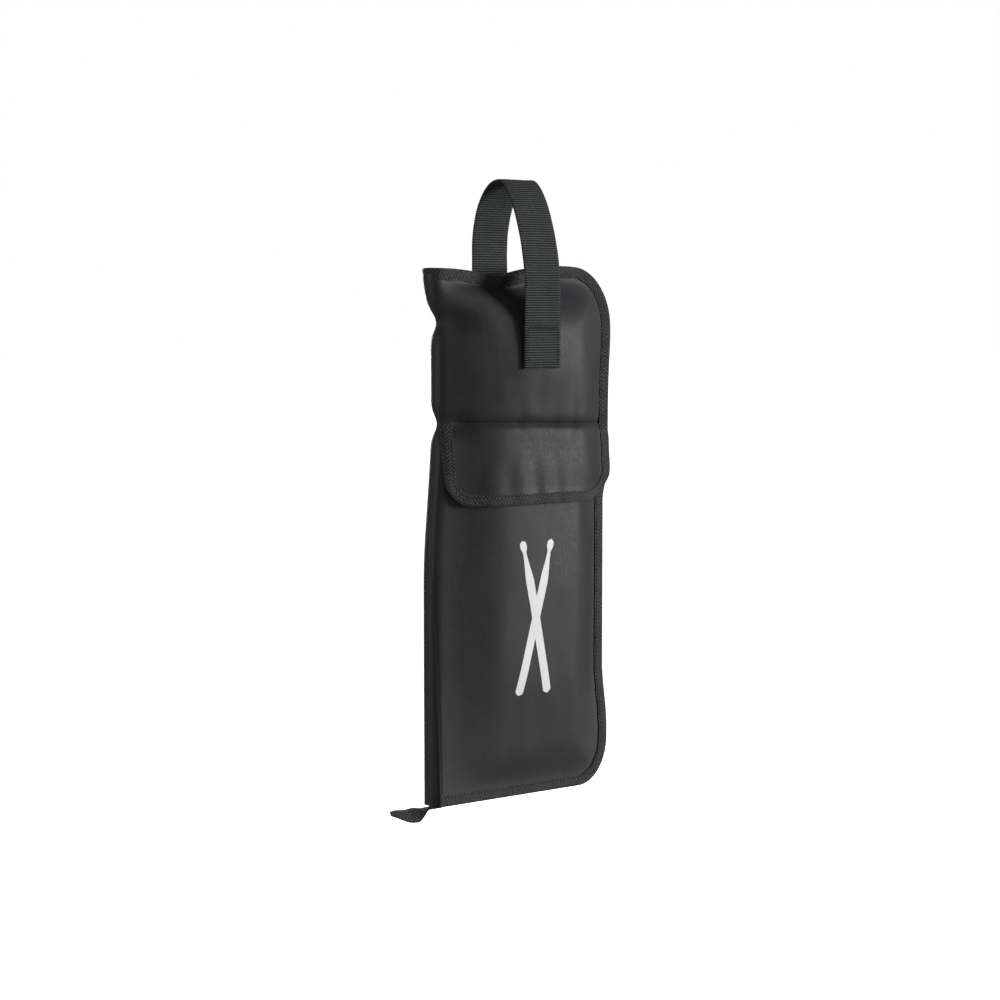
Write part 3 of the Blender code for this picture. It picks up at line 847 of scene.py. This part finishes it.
def print_material(name):
    """Screen-printed white ink that shows the twill under it."""
    c = Cloth(name)
    uv, across_it, along_it = c.cloth_uv()
    ribs = c.waves(c.total(across_it, (along_it, 0.8)), 0.9 * MM)
    patches = c.noise(uv, 9 * MM, 4.0)
    thin = c.noise(uv, 0.7 * MM, 4.0, 0.7)
    return c.finish(
        ribs, 0.06 * MM, 0.4,
        c.total(0.0, (thin, 0.5), (patches, 0.4), (ribs, 0.1)),
        [(0.2, (0.7, 0.71, 0.72)), (0.42, (0.92, 0.92, 0.91)), (0.8, (0.97, 0.97, 0.96))],
        c.total(0.42, (patches, 0.15)),
    )


# ---- covers


def column_places(z, inset):
    """X places across a cover at a height, from the spine's round to the free edge."""
    return spread(SPINE_R, right_edge(z, inset), 72)[1:]


def row_places():
    rows = spaced(PANEL_INSET, 14, 1.5) + spaced(14, 300, 3.6)[1:]
    rows += spaced(300, 352, 1.3)[1:] + spaced(352, 440, 2.6)[1:]
    return rows + spaced(440, HEIGHT - PANEL_INSET, 1.5)[1:]


def spine_turns():
    return spread(-pi / 2, pi / 2, 24)


def add_outer_fabric(material):
    """Both covers' outer fabric and the spine between them, one sheet."""
    outer, inner, uvs = [], [], []
    for z in row_places():
        xs = column_places(z, PANEL_INSET)
        leads = (lead_in(swell_front, z), lead_in(swell_back, z))
        rows = []
        for depth in (0, FABRIC):
            row = [(x, -(shell_front(x, z) - depth), z) for x in reversed(xs)]
            for turn in spine_turns():
                radius = SPINE_R - depth
                lead = leads[turn > 0] * (1 - cos(turn)) ** 3
                out = radius * sin(turn) + copysign(lead, turn)
                row.append((SPINE_R - radius * cos(turn), out, z))
            row += [(x, shell_back(x, z) - depth, z) for x in xs]
            rows.append(row)
        outer.append(rows[0])
        inner.append(rows[1])
        half = SPINE_R * pi / 2
        across_row = [-(x - SPINE_R) - half for x in reversed(xs)]
        across_row += [SPINE_R * turn for turn in spine_turns()]
        across_row += [x - SPINE_R + half for x in xs]
        uvs += [(u, z) for u in across_row]
    points, faces = closed_sheet(outer, inner)
    shell = add_piece("outer_fabric", points, faces, uvs * 2, material)
    finished(shell, "back_shell front_shell")
    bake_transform(shell)


def add_inner_layers(prefix, side, face, lining, foam):
    """Padding and lining of one cover."""
    body = f"{prefix}_cover"
    inset = 20

    def foam_columns(z):
        return spread(FOAM_START, right_edge(z, inset), 40)

    zs = spaced(inset, HEIGHT - inset, 5)
    top = lining_face(face)
    pad = add_sheet(
        f"{prefix}_foam", side, foam_columns, zs,
        lambda x, z: top(x, z) + GAP + padding_depth(x, z) - 0.05,
        lambda x, z: top(x, z) + GAP,
        foam,
    )
    finished(pad, f"{prefix}_padding", body)

    def lining_columns(z):
        return spread(SPINE_R - 0.4, right_edge(z, PANEL_INSET), 56)

    zs = spaced(PANEL_INSET, HEIGHT - PANEL_INSET, 3.6)
    sheet = add_sheet(
        f"{prefix}_inner_lining", side, lining_columns, zs,
        top, lambda x, z: top(x, z) - LINING, lining,
    )
    finished(sheet, f"{prefix}_lining", body)


def add_stick_pocket(prefix, side, face, lining, tape):
    """Panel sewn to the lining on three sides, with a bound mouth."""
    high = stick_pocket_face(face)

    def low(x, z):
        return high(x, z) - LINING

    xs, zs = spaced(*STICK_X, 3), spaced(*STICK_Z, 4)
    pocket = add_sheet(f"{prefix}_inner_pocket", side, lambda z: xs, zs, high, low, lining)
    body, pocket_node = f"{prefix}_cover", f"{prefix}_stick_pocket"
    finished(pocket, pocket_node, body)
    mouth = add_mouth_binding(f"{prefix}_inner_pocket_mouth", side, STICK_Z[1], low, high, tape)
    finished(mouth, f"{pocket_node}_binding", body)


def tape_profile(low, high, depth, wall=TAPE):
    """The folded tape's section: (distance in from the fold, height) round its closed loop."""
    middle, bulge = (low + high) / 2, (high - low) / 2
    turn = []
    for i in range(9):
        a = radians(-90 + 180 * i / 8)
        turn.append((1.7 * (1 - cos(a)), middle + bulge * sin(a)))
    outer = [(depth, low), (depth * 0.55, low - 0.05), (3, low)] + turn
    outer += [(3, high), (depth * 0.55, high + 0.1), (depth, high - 0.1)]
    inner = [(depth, high - wall), (depth * 0.5, high - wall), (2.6, high - wall)]
    inner += [(1.3, high - 1.6 * wall), (1.3, low + 1.6 * wall)]
    inner += [(2.6, low + wall), (depth * 0.5, low + wall), (depth, low + wall)]
    return outer + inner


def profile_lengths(profile):
    lengths = [0.0]
    for a, b in zip(profile, profile[1:]):
        lengths.append(lengths[-1] + hypot(b[0] - a[0], b[1] - a[1]))
    return lengths


def add_tape(name, side, path, section, lift, material, wrap=False):
    """Tape folded round an edge, by its section and the lift at a place.

    With wrap, the path's end goes on round the spine to the middle plane.
    """
    rings, uvs = [], []
    lengths = profile_lengths(section)
    for x, z, nx, nz, length in path:
        ring = []
        for (inward, height), across_tape in zip(section, lengths):
            ripple = 0.16 * sin(length * 0.9) * ramp(inward, 0, 9)
            ripple += 0.22 * noise.noise(Vector((length / 11, 0.3, side)))
            reach = inward + (0.3 * sin(length * 0.31) if inward > 8 else 0)
            px, pz = x + nx * reach, z + nz * reach
            raised = height + lift(px, pz, height, reach) + ripple * 0.5
            ring.append((px, side * raised, pz))
            uvs.append((length, across_tape))
        rings.append(ring)
    if wrap:
        last = rings[-1]
        for i in range(1, 11):
            turn = radians(90 - 89.4 * i / 10)
            ring = []
            for _, y, z in last:
                height = mix(abs(y), 6.6 + (abs(y) - 6.6) * 0.66, ramp(i, 0, 5))
                ring.append((SPINE_R - height * cos(turn), side * height * sin(turn), z))
            more = path[-1][4] + SPINE_R * (pi / 2 - turn)
            uvs += [(more, across_tape) for across_tape in lengths]
            rings.append(ring)
    return swept(name, rings, uvs, material, smooth_angle=55)


def add_edge_binding(prefix, side, tape, thread):
    section = tape_profile(TAPE_LOW, TAPE_HIGH, BINDING)
    path = outline(0, BINDING_START, 2.4, SPINE_R)

    def hug(_, z, height, inward):
        """The tape's outer leg comes down to the single cloth where no pocket lies under it."""
        if height < 9.5:
            return 0.0
        bare = ramp(z, 307, 320) if side == FRONT else 1.0
        return -1.15 * bare * ramp(inward, 2, 9)

    piece = add_tape(f"{prefix}_edge_tape", side, path, section, hug, tape, wrap=True)
    finished(piece, f"{prefix}_edge_binding")
    start, end = (placed((side * turn, turn, 0), True) for turn in (TAPE_TURN, -TAPE_TURN))
    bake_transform(piece)
    line = outline(BINDING - 1.7, BINDING_START + 1, 2.4)
    bodies = []
    for height, way in ((TAPE_HIGH, 1), (TAPE_LOW, -1)):
        points = []
        for x, z, _, _, _ in line:
            lowered = hug(x, z, height, BINDING - 1.7)
            points.append((x, side * (height + lowered), z))
        bodies += stitch_line(points, lambda p, way=way: (0, side * way, 0))
    sew(f"{prefix}_edge_stitches", bodies, thread, f"{prefix}_cover")


def add_mouth_binding(name, side, top, low, high, tape):
    """Binding along a straight pocket mouth."""
    left, right = STICK_X[0] + 0.5, STICK_X[1] - 0.5
    path = with_length([(x, top + 1.2, 0.0, -1.0) for x in spaced(left, right, 3)])
    section = tape_profile(-1.3, 1.3, BINDING, 0.7)

    def middle(x, z, *_):
        return (low(x, z) + high(x, z)) / 2

    return add_tape(name, side, path, section, middle, tape)


# ---- accessory pocket and flap


def add_pocket(nylon, tape, loop, thread, ink):
    zs = spaced(PANEL_INSET, POCKET_TOP, 3)

    def columns(z):
        first = acos(1 - pocket_left(z) / SPINE_R)
        xs = [SPINE_R * (1 - cos(turn)) for turn in spread(first, pi / 2, 8)[:-1]]
        return xs + spread(SPINE_R, right_edge(z, PANEL_INSET), 70)

    def low(x, z):
        return pocket_front(x, z) - FABRIC

    body = "front_cover"
    pocket = add_sheet("pocket_panel", FRONT, columns, zs, pocket_front, low, nylon)
    finished(pocket, "accessory_pocket", body)
    mouth = add_mouth_binding("pocket_mouth_tape", FRONT, POCKET_TOP, low, pocket_front, tape)
    finished(mouth, "accessory_pocket_binding", body)
    strip = add_strip("loop_strip", lambda x, z: pocket_front(x, z) + 0.15, loop)
    finished(strip, "pocket_loop_strip", body)

    left = [(pocket_left(z) + 2.4, z) for z in spaced(11, POCKET_TOP - 2, 3)]
    points = [(x, -pocket_front(x, z), z) for x, z in left]
    bodies = stitch_line(points, lambda p: (-0.6, -0.8, 0))
    sew("pocket_side_stitches", bodies, thread, body)
    add_pictogram(ink)


def add_strip(name, low, material):
    """A sewn strip of pile on a sheet's face."""
    xs, zs = spaced(*STRIP_X, 2), spaced(*STRIP_Z, 2)

    def high(x, z):
        edge = min(x - STRIP_X[0], STRIP_X[1] - x, z - STRIP_Z[0], STRIP_Z[1] - z)
        return low(x, z) + STRIP * (0.45 + 0.55 * ramp(edge, 0, 2.2))

    return add_sheet(name, FRONT, lambda z: xs, zs, high, low, material)


def stick_half_width(along):
    """A plain drum stick's half width at a share of its length, from butt to tip."""
    if along < 0.02:
        return 3.9 * sqrt(clamp(along / 0.02)) + 0.2
    if along < 0.72:
        return 4.1
    if along < 0.93:
        return mix(4.1, 1.7, ramp(along, 0.72, 0.93))
    t = (along - 0.93) / 0.07
    return 1.5 + 1.9 * sqrt(max(0.0, 1 - (2 * t - 1) ** 2)) - 1.45 * ramp(t, 0.8, 1)


def add_pictogram(ink):
    """Two plain crossed sticks in white ink on the pocket."""
    centre_x, centre_z, length = 95, 158, 138
    parts = []
    for layer_height, lean in ((0.10, 13), (0.16, -13)):
        turn = radians(lean)
        outer, inner = [], []
        for i in range(91):
            along = i / 90
            rows = []
            for k in range(7):
                side_step = stick_half_width(along) * (k - 3) / 3
                up = (along - 0.5) * length
                x = centre_x + side_step * cos(turn) + up * sin(turn)
                z = centre_z - side_step * sin(turn) + up * cos(turn)
                rows.append((x, z))
            outer.append([(x, -(pocket_front(x, z) + layer_height), z) for x, z in rows])
            inner.append([(x, -(pocket_front(x, z) + 0.02), z) for x, z in rows])
        parts.append(closed_sheet(outer, inner))
    printed = joined("printed_sticks", parts, ink)
    finished(printed, "", "front_cover")


def flap_columns(z):
    """X places across the flap at a height, inside its rounded lower corners."""
    inset = 1.3
    below = FLAP_BOTTOM + FLAP_CORNER - z
    draw_in = 0.0
    if below > 0:
        radius = FLAP_CORNER - inset
        draw_in = radius - sqrt(max(0.0, radius**2 - min(radius, below) ** 2))
    left, right = FLAP_LEFT + inset + draw_in, FLAP_RIGHT - inset - draw_in
    return [slanted(mix(left, right, (i / 90) ** 1.3), z) for i in range(91)]


def add_flap(nylon, tape, hook, thread):
    zs = spaced(FLAP_BOTTOM + 1.35, FLAP_BOTTOM + 12, 1.2)
    zs += spaced(FLAP_BOTTOM + 12, FLAP_SEAM, 2)[1:]
    flap = add_sheet("flap_cloth", FRONT, flap_columns, zs, flap_front, flap_back, nylon)
    finished(flap, "flap_panel")

    def middle(x, z, *_):
        return flap_front(x, z) - FABRIC / 2

    section = tape_profile(-1.25, 1.25, FLAP_BINDING)
    bound = add_tape("flap_edge_tape", FRONT, flap_outline(0), section, middle, tape)
    finished(bound, "flap_binding")

    line = flap_outline(FLAP_BINDING - 1.6)
    points = [(x, -(flap_front(x, z) + 0.85), z) for x, z, _, _, _ in line]
    bodies = stitch_line(points, lambda p: (0, -1, 0))
    stitches = sew("flap_edge_stitches", bodies, thread)
    strip = add_strip("hook_strip", lambda x, z: flap_back(x, z) - STRIP - 0.1, hook)
    finished(strip, "flap_hook_strip")
    start, end = (placed((0, 0, z), True) for z in FLAP_TURN)
    for piece in (flap, bound, stitches, strip):
        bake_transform(piece)

    z = FLAP_SEAM + 2
    row = [(x, -(shell_front(x, z) + 0.05), z) for x in spaced(5, 179, 3)]
    bodies = stitch_line(row, lambda p: (0, -1, 0.2), 2.8)
    sew("flap_seam_stitches", bodies, thread, "front_cover")


# ---- handle


def strap_line(side):
    """Middle of the webbing as (y, z, normal y, normal z, length), from its sewn end to the top."""
    arch_start, power = ARCH[side]
    half_span = STRAP_FACE[side] + STRAP / 2
    half_rise = ARCH_TOP - STRAP / 2 - arch_start
    line = [(side * half_span, z, side, 0.0) for z in spaced(STRAP_END, arch_start, 3)]
    for i in range(1, 45):
        a = radians(90 * i / 44)
        out, up = cos(a) ** (2 / power), sin(a) ** (2 / power)
        ny, nz = out ** (power - 1) / half_span, up ** (power - 1) / half_rise
        size = hypot(ny, nz)
        line.append((side * half_span * out, arch_start + half_rise * up, side * ny / size, nz / size))
    return with_length(line)


def strap_section(thick):
    """Half-rounded section across the webbing: (x, out) round its closed loop."""
    half = thick / 2
    xs = [-1, -0.985, -0.9, -0.5, 0, 0.5, 0.9, 0.985, 1]
    edge = [0.25, 0.8, 1.0, 0.92, 0.92, 0.92, 1.0, 0.8, 0.25]
    low = [(x * STRAP_HALF, -half * e) for x, e in zip(xs, edge)]
    high = [(x * STRAP_HALF, half * e) for x, e in zip(reversed(xs), reversed(edge))]
    return low + high


def add_handle(prefix, side, webbing, thread):
    """Half of the carrying handle, hemmed and sewn at its lower end."""
    rings, uvs = [], []
    for y, z, ny, nz, length in strap_line(side):
        hem = ramp(z, STRAP_SEWN + 2, STRAP_SEWN - 2)
        end = ramp(z, STRAP_END + 1.5, STRAP_END)
        thick = STRAP + 0.6 * hem - 1.1 * end
        grown = (thick - STRAP) / 2
        sway = 0.5 * sin(length / 38) * (1 - hem) * ramp(z, ARCH_TOP, 471)
        for x, out in strap_section(thick):
            wave = 0.25 * rough(x, z, 14, 9.0) * (1 - hem)
            reach = out + grown + wave
            rings.append((STRAP_X + x * (1 + 0.01 * hem) + sway, y + ny * reach, z + nz * reach))
            uvs.append((x, length))
    count = len(strap_section(STRAP))
    rings = [rings[i : i + count] for i in range(0, len(rings), count)]
    rings[-1] = [(x, 0.0, z) for x, _, z in rings[-1]]
    piece = swept(f"handle_webbing_{prefix}", rings, uvs, webbing, stiff=True, smooth_angle=70)
    finished(piece, f"handle_{prefix}")

    face = side * (STRAP_FACE[side] + STRAP + 0.55)
    low, high, wide = STRAP_END + 3.5, STRAP_SEWN - 3.5, STRAP_HALF - 3
    box = [(-wide, low), (wide, low), (wide, high), (-wide, high), (-wide, low)]
    bodies = []
    for (x0, z0), (x1, z1) in zip(box, box[1:]):
        line = [(STRAP_X + mix(x0, x1, t / 12), face, mix(z0, z1, t / 12)) for t in range(13)]
        bodies += stitch_line(line, lambda p: (0, side, 0), 2.6, 0.75, 0.33)
    for row in (low + 1.6, high - 1.6):
        line = [(STRAP_X + x, face, row) for x in spaced(-wide, wide, 3)]
        bodies += stitch_line(line, lambda p: (0, side, 0), 2.2, 0.8, 0.36)
    sew(f"handle_stitches_{prefix}", bodies, thread, f"{prefix}_cover", True)

    free = placed((0, 0, ARCH_TURN), True)
    beyond = placed((0, 0, 2 * ARCH_TOP - STRAP - ARCH_TURN), True)
    start, end = (free, beyond) if side == BACK else (beyond, free)
    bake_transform(piece)


# ---- zip


def tooth_body(x, z, nx, nz, side):
    """One moulded tooth, its head towards the middle plane."""
    points = []
    for inward in (0.1, CHAIN_DEPTH - 0.1):
        for near, half in TOOTH_SHAPE:
            for way in (-half, half):
                points.append((x + nx * inward - nz * way, side * near, z + nz * inward + nx * way))
    faces = [(a, a + 1, a + 3, a + 2) for base in (0, 8) for a in range(base, base + 6, 2)]
    for k in range(0, 6, 2):
        faces += [(k, k + 2, k + 10, k + 8), (k + 1, k + 9, k + 11, k + 3)]
    return points, faces + [(0, 8, 9, 1), (6, 7, 15, 14)]


def add_zip_half(prefix, side, cloth, teeth, metal):
    body = f"{prefix}_cover"
    path = outline(ZIP_INSET + CHAIN_DEPTH / 2 - 0.35, ZIP_START, 3)
    rings, uvs = [], []
    for x, z, nx, nz, length in path:
        ring = []
        for near, deep in ((2.4, 0), (4.4, 0.05), (6.4, 0), (6.5, 0.7), (4.4, 0.75), (2.4, 0.7)):
            ring.append((x + nx * deep, side * near, z + nz * deep))
            uvs.append((length, near))
        rings.append(ring)
    tape = swept(f"zip_cloth_{prefix}", rings, uvs, cloth, ZIP)
    finished(tape, f"zip_tape_{prefix}", body)

    shift = 0 if side == FRONT else TOOTH_PITCH / 2
    line = outline(ZIP_INSET, ZIP_START, 3)
    count = int((line[-1][4] - 2) / TOOTH_PITCH)
    places = [at_length(line, 1 + shift + i * TOOTH_PITCH) for i in range(count)]
    bodies = [tooth_body(x, z, nx, nz, side) for x, z, nx, nz, _ in places]
    chain = joined(f"zip_teeth_{prefix}", bodies, teeth, ZIP)
    finished(chain, f"zip_chain_{prefix}", body)

    top = HEIGHT - ZIP_INSET
    y_low, y_high = sorted((side * 0.4, side * 3.1))
    block = rounded((ZIP_START - 2.9, y_low, top - CHAIN_DEPTH - 0.2),
                    (ZIP_START - 0.4, y_high, top + 0.2), 0.35)
    stop = joined(f"zip_end_{prefix}", [block], metal, smooth_angle=35)
    finished(stop, f"zip_stop_{prefix}", body)


def unpacked(bm):
    """Points and faces of a bmesh, which ends here."""
    bm.verts.index_update()
    points = [tuple(v.co) for v in bm.verts]
    faces = [tuple(v.index for v in f.verts) for f in bm.faces]
    bm.free()
    return points, faces


def rounded(low, high, radius, segments=3):
    """Points and faces of a box with rounded edges."""
    bm = bmesh.new()
    bmesh.ops.create_cube(bm, size=1.0)
    size, middle = Vector(high) - Vector(low), (Vector(high) + Vector(low)) / 2
    stretched = Matrix.Translation(middle) @ Matrix.Diagonal((*size, 1))
    bmesh.ops.transform(bm, matrix=stretched, verts=bm.verts)
    bmesh.ops.bevel(
        bm, geom=bm.edges[:], offset=radius, segments=segments, affect="EDGES", profile=0.5
    )
    return unpacked(bm)


def plate(low, high):
    """A slider plate: wide at the mouth, narrow at the tail."""
    upper = [(6 * x, 4.4 * y) for x, y in PLATE_SHAPE]
    rim = upper + [(x, -y) for x, y in reversed(upper)]
    levels = ((low, 0.93), (low + 0.25, 1), (high - 0.3, 1), (high, 0.9))
    return tube([[(SLIDER_X + x * s, y * s, z) for x, y in rim] for z, s in levels])


def add_slider(metal):
    """Two waisted plates, the post between them and a round bridge over the pull."""
    low = HEIGHT - ZIP_INSET - CHAIN_DEPTH - 0.39
    post = rounded((SLIDER_X + 3, -0.45, low - 0.3), (SLIDER_X + 5.4, 0.45, SLIDER_TOP - 0.9), 0.2)
    bridge = []
    for i in range(15):
        a = radians(180 - 180 * i / 14)
        ring = []
        for k in range(8):
            turn = radians(45 * k)
            out = 0.45 * cos(turn)
            x = SLIDER_X + (4 + out) * cos(a)
            z = SLIDER_TOP - 0.3 + 2.75 * sin(a) ** 0.6 + out * sin(a)
            ring.append((x, 1.2 * sin(turn), z))
        bridge.append(ring)
    plates = [plate(SLIDER_TOP - 1.2, SLIDER_TOP), plate(low - 1.2, low)]
    slider = joined("zip_slider", [*plates, post, tube(bridge)], metal, True, 35)
    finished(slider, "slider_body", "zip_slider")


def add_pull(metal):
    """Flat pull with a window for the bridge, a waist and a ribbed grip."""
    length, hole, thick = 24, 6.8, 0.55
    start, pivot_z = SLIDER_X - 2, SLIDER_TOP + 1
    upper = [(share * length, half) for share, half in PULL_SHAPE]
    rim = upper + [(x, -y) for x, y in reversed(upper)]
    window = []
    for i in range(20):
        a = 2 * pi * i / 20
        sx, sy = (copysign(abs(c) ** 0.6, c) for c in (cos(a), sin(a)))
        window.append((1.2 + (1 + sx) * hole / 2, sy * 1.7))
    bm = bmesh.new()

    def ring(shape, z, scale=1):
        return [bm.verts.new((start + x, y * scale, pivot_z + z * thick)) for x, y in shape]

    walls = [ring(rim, z, scale) for z, scale in ((-1, 0.96), (-0.6, 1), (0.6, 1), (1, 0.96))]
    holes = [ring(window, -1), ring(window, 1)]
    for a, b in (*zip(walls, walls[1:]), holes):
        for i in range(len(a)):
            bm.faces.new((a[i - 1], a[i], b[i], b[i - 1]))
    for loops in ((walls[0], holes[0]), (walls[-1], holes[1])):
        edges = [bm.edges.get((loop[i - 1], loop[i])) for loop in loops for i in range(len(loop))]
        bmesh.ops.triangle_fill(bm, edges=edges, use_beauty=True)
    bodies = [unpacked(bm)]
    for k in range(5):
        x, high = start + (0.66 + 0.055 * k) * length, thick + 0.15
        bodies.append(rounded((x - 0.3, -2.3, pivot_z - high), (x + 0.3, 2.3, pivot_z + high), 0.12, 2))
    pull = joined("zip_pull_tab", bodies, metal, True, 35)
    finished(pull, "pull_tab", "zip_pull")


# ---- tail tab


def add_tail_tab(tape, thread):
    """Leaf-shaped folded tape at the spine's foot, turned on edge past the bag's outline."""
    rings, uvs, spots = [], [], []
    steps = 44
    columns = 9
    for i in range(steps + 1):
        share = i / steps
        out = ramp(share, 0.24, 0.5)
        tilt = TAB_TILT * out
        leaf = sin(pi * min(1.0, 0.2 + 0.77 * share)) ** 0.62
        half = TAB_HALF * (0.5 * (1 - out) + out * leaf)
        fall = TAB_DROP * out - 4.2 * ramp(share, 0.6, 1.0)
        centre = Vector((TAB_ROOT - TAB_LENGTH * share, 0, -1.4 - fall))
        across_tab = Vector((0, -cos(tilt), -sin(tilt)))
        normal = Vector((0, sin(tilt), -cos(tilt)))
        cup = 1.3 * out
        ring, back = [], []
        for k in range(columns):
            t = 2 * k / (columns - 1) - 1
            edge = 1 - 0.55 * ramp(abs(t), 0.86, 1)
            bend = cup * (t * t - 0.4)
            middle = centre + across_tab * (t * half) + normal * bend
            ring.append(middle + normal * (0.85 * edge))
            back.append(middle - normal * (0.85 * edge))
            uvs.append((share * TAB_LENGTH, t * half))
        uvs += [(u, v) for u, v in reversed(uvs[-columns:])]
        rings.append([tuple(p) for p in ring + back[::-1]])
        spots.append((centre, across_tab, normal, half))
    tab = swept("tail_tab", rings, uvs, tape, stiff=True, smooth_angle=60)
    finished(tab, "zip_tail_tab", "back_cover")
    bodies = []
    for index in (36, 38):
        centre, across_tab, normal, half = spots[index]
        line = [centre + across_tab * (half * t / 10) + normal * 0.9 for t in range(-8, 9, 2)]
        for way in (1, -1):
            points = [tuple(p if way > 0 else p - normal * 1.8) for p in line]
            bodies += stitch_line(points, lambda p, w=way, n=normal: n * w, 2.2, 0.75, 0.3)
    sew("tail_tab_stitches", bodies, thread, "back_cover", True)


# ---- room


def add_floor():
    """A plain pale floor well below the hanging bag."""
    c = Cloth("studio_floor")
    seen = c.camera_ray()
    pale = c.total(0.9, (c.noise(c.place(), 0.6, 3.0), 0.03))
    shade = c.maths("MULTIPLY", pale, c.total(0.25, (seen, 0.6)))
    c.link(Base_Color=shade, Emission_Strength=c.maths("MULTIPLY", seen, 1.1))
    c.shader.inputs["Emission Color"].default_value = (1, 1, 1, 1)
    c.shader.inputs["Roughness"].default_value = 0.9
    bm = bmesh.new()
    bmesh.ops.create_grid(bm, x_segments=8, y_segments=8, size=30)
    mesh = bpy.data.meshes.new("studio_floor")
    bm.to_mesh(mesh)
    bm.free()
    mesh.materials.append(c.material)
    floor = bpy.data.objects.new("studio_floor", mesh)
    floor.location.z = CAD_BOX[0][2] - 0.35
    bpy.context.collection.objects.link(floor)


def add_light(name, kind, toward, energy, distance=3.0, **settings):
    """A light that shines on the bag's middle from a direction."""
    data = bpy.data.lights.new(name, kind)
    data.energy = energy
    for key, value in settings.items():
        setattr(data, key, value)
    light = bpy.data.objects.new(name, data)
    way = Vector(toward).normalized()
    light.location = Vector((0, 0, -0.27)) + way * distance
    light.rotation_mode = "QUATERNION"
    light.rotation_quaternion = way.to_track_quat("Z", "Y")
    bpy.context.collection.objects.link(light)


def add_room():
    world = bpy.data.worlds.new("studio")
    world.use_nodes = True
    sky = Nodes(world.node_tree)
    background = sky.tree.nodes["Background"]
    way = sky.add("ShaderNodeTexCoord").outputs["Generated"]
    height = sky.add("ShaderNodeSeparateXYZ", {"Vector": way}).outputs["Z"]
    lit = sky.total(0.21, (sky.maths("MAXIMUM", height, 0.0), -0.17))
    strength = sky.total(lit, (sky.camera_ray(), sky.maths("SUBTRACT", 1.0, lit)))
    background.inputs["Color"].default_value = (1, 1, 1, 1)
    sky.tree.links.new(strength, background.inputs["Strength"])
    bpy.context.scene.world = world
    add_light("key", "SUN", (0.74, -0.66, 0.12), 3.0, angle=radians(18))
    add_light("fill", "AREA", (0.35, -1.0, 0.1), 2.0, 2.4, shape="DISK", size=1.6)
    add_light("rim", "AREA", (-1.0, 0.0, 0.12), 16.0, 2.4, shape="DISK", size=1.2)
    add_light("behind", "AREA", (0.3, 1.0, 0.25), 60.0, 2.4, shape="DISK", size=1.6)


def add_camera():
    """Looks at the bag from its spine side, a little above."""
    azimuth, elevation, distance = radians(-37), radians(4.9), 1.972
    back = Vector((
        sin(azimuth) * cos(elevation),
        -cos(azimuth) * cos(elevation),
        sin(elevation),
    ))
    target = ORIGIN + Vector((78.6 * MM, 0, 258.3 * MM))
    data = bpy.data.cameras.new("photo_view")
    data.sensor_width = 36
    data.lens = 82.3
    data.clip_start, data.clip_end = 0.05, 100
    camera = bpy.data.objects.new("photo_view", data)
    camera.location = target + back * distance
    camera.rotation_mode = "QUATERNION"
    camera.rotation_quaternion = (-back).to_track_quat("-Z", "Y")
    bpy.context.collection.objects.link(camera)
    bpy.context.scene.camera = camera


# ---- the bag


def build():
    add_camera()
    add_room()
    add_floor()
    bpy.context.scene.view_settings.view_transform = "Standard"
    nylon = twill_material("nylon_twill", (0.028, 0.0285, 0.031), 1.0 * MM, 0.5)
    tape = herringbone_material("binding_herringbone", (0.026, 0.028, 0.0275), 3.2 * MM, 3.4 * MM)
    webbing = webbing_material("handle_webbing", (0.026, 0.028, 0.0285), 2.1 * MM)
    lining = plain_weave_material("lining_weave", (0.05, 0.05, 0.055), 0.8 * MM)
    zip_cloth = plain_weave_material("zip_tape_weave", (0.02, 0.02, 0.022), 0.7 * MM, 0.8)
    foam = pile_material("foam_cells", (0.08, 0.08, 0.085), 1.4 * MM, 0.85)
    loop = pile_material("loop_pile", (0.03, 0.03, 0.033), 0.7 * MM, 0.85)
    hook = pile_material("hook_pile", (0.025, 0.025, 0.028), 1.1 * MM, 0.6)
    thread = thread_material("black_thread", (0.02, 0.02, 0.022))
    teeth = hard_material("zip_teeth_resin", (0.02, 0.02, 0.022), 0.0, 0.3, 1.8)
    metal = hard_material("zip_black_plating", (0.09, 0.09, 0.095), 1.0, 0.25, 3.0)
    ink = print_material("white_ink")

    add_outer_fabric(nylon)
    for prefix, side, face in (("front", FRONT, shell_front), ("back", BACK, shell_back)):
        add_inner_layers(prefix, side, face, lining, foam)
        add_stick_pocket(prefix, side, face, lining, tape)
        add_edge_binding(prefix, side, tape, thread)
        add_zip_half(prefix, side, zip_cloth, teeth, metal)
        add_handle(prefix, side, webbing, thread)
    add_pocket(nylon, tape, loop, thread, ink)
    add_flap(nylon, tape, hook, thread)
    add_slider(metal)
    add_pull(metal)
    add_tail_tab(tape, thread)


build()
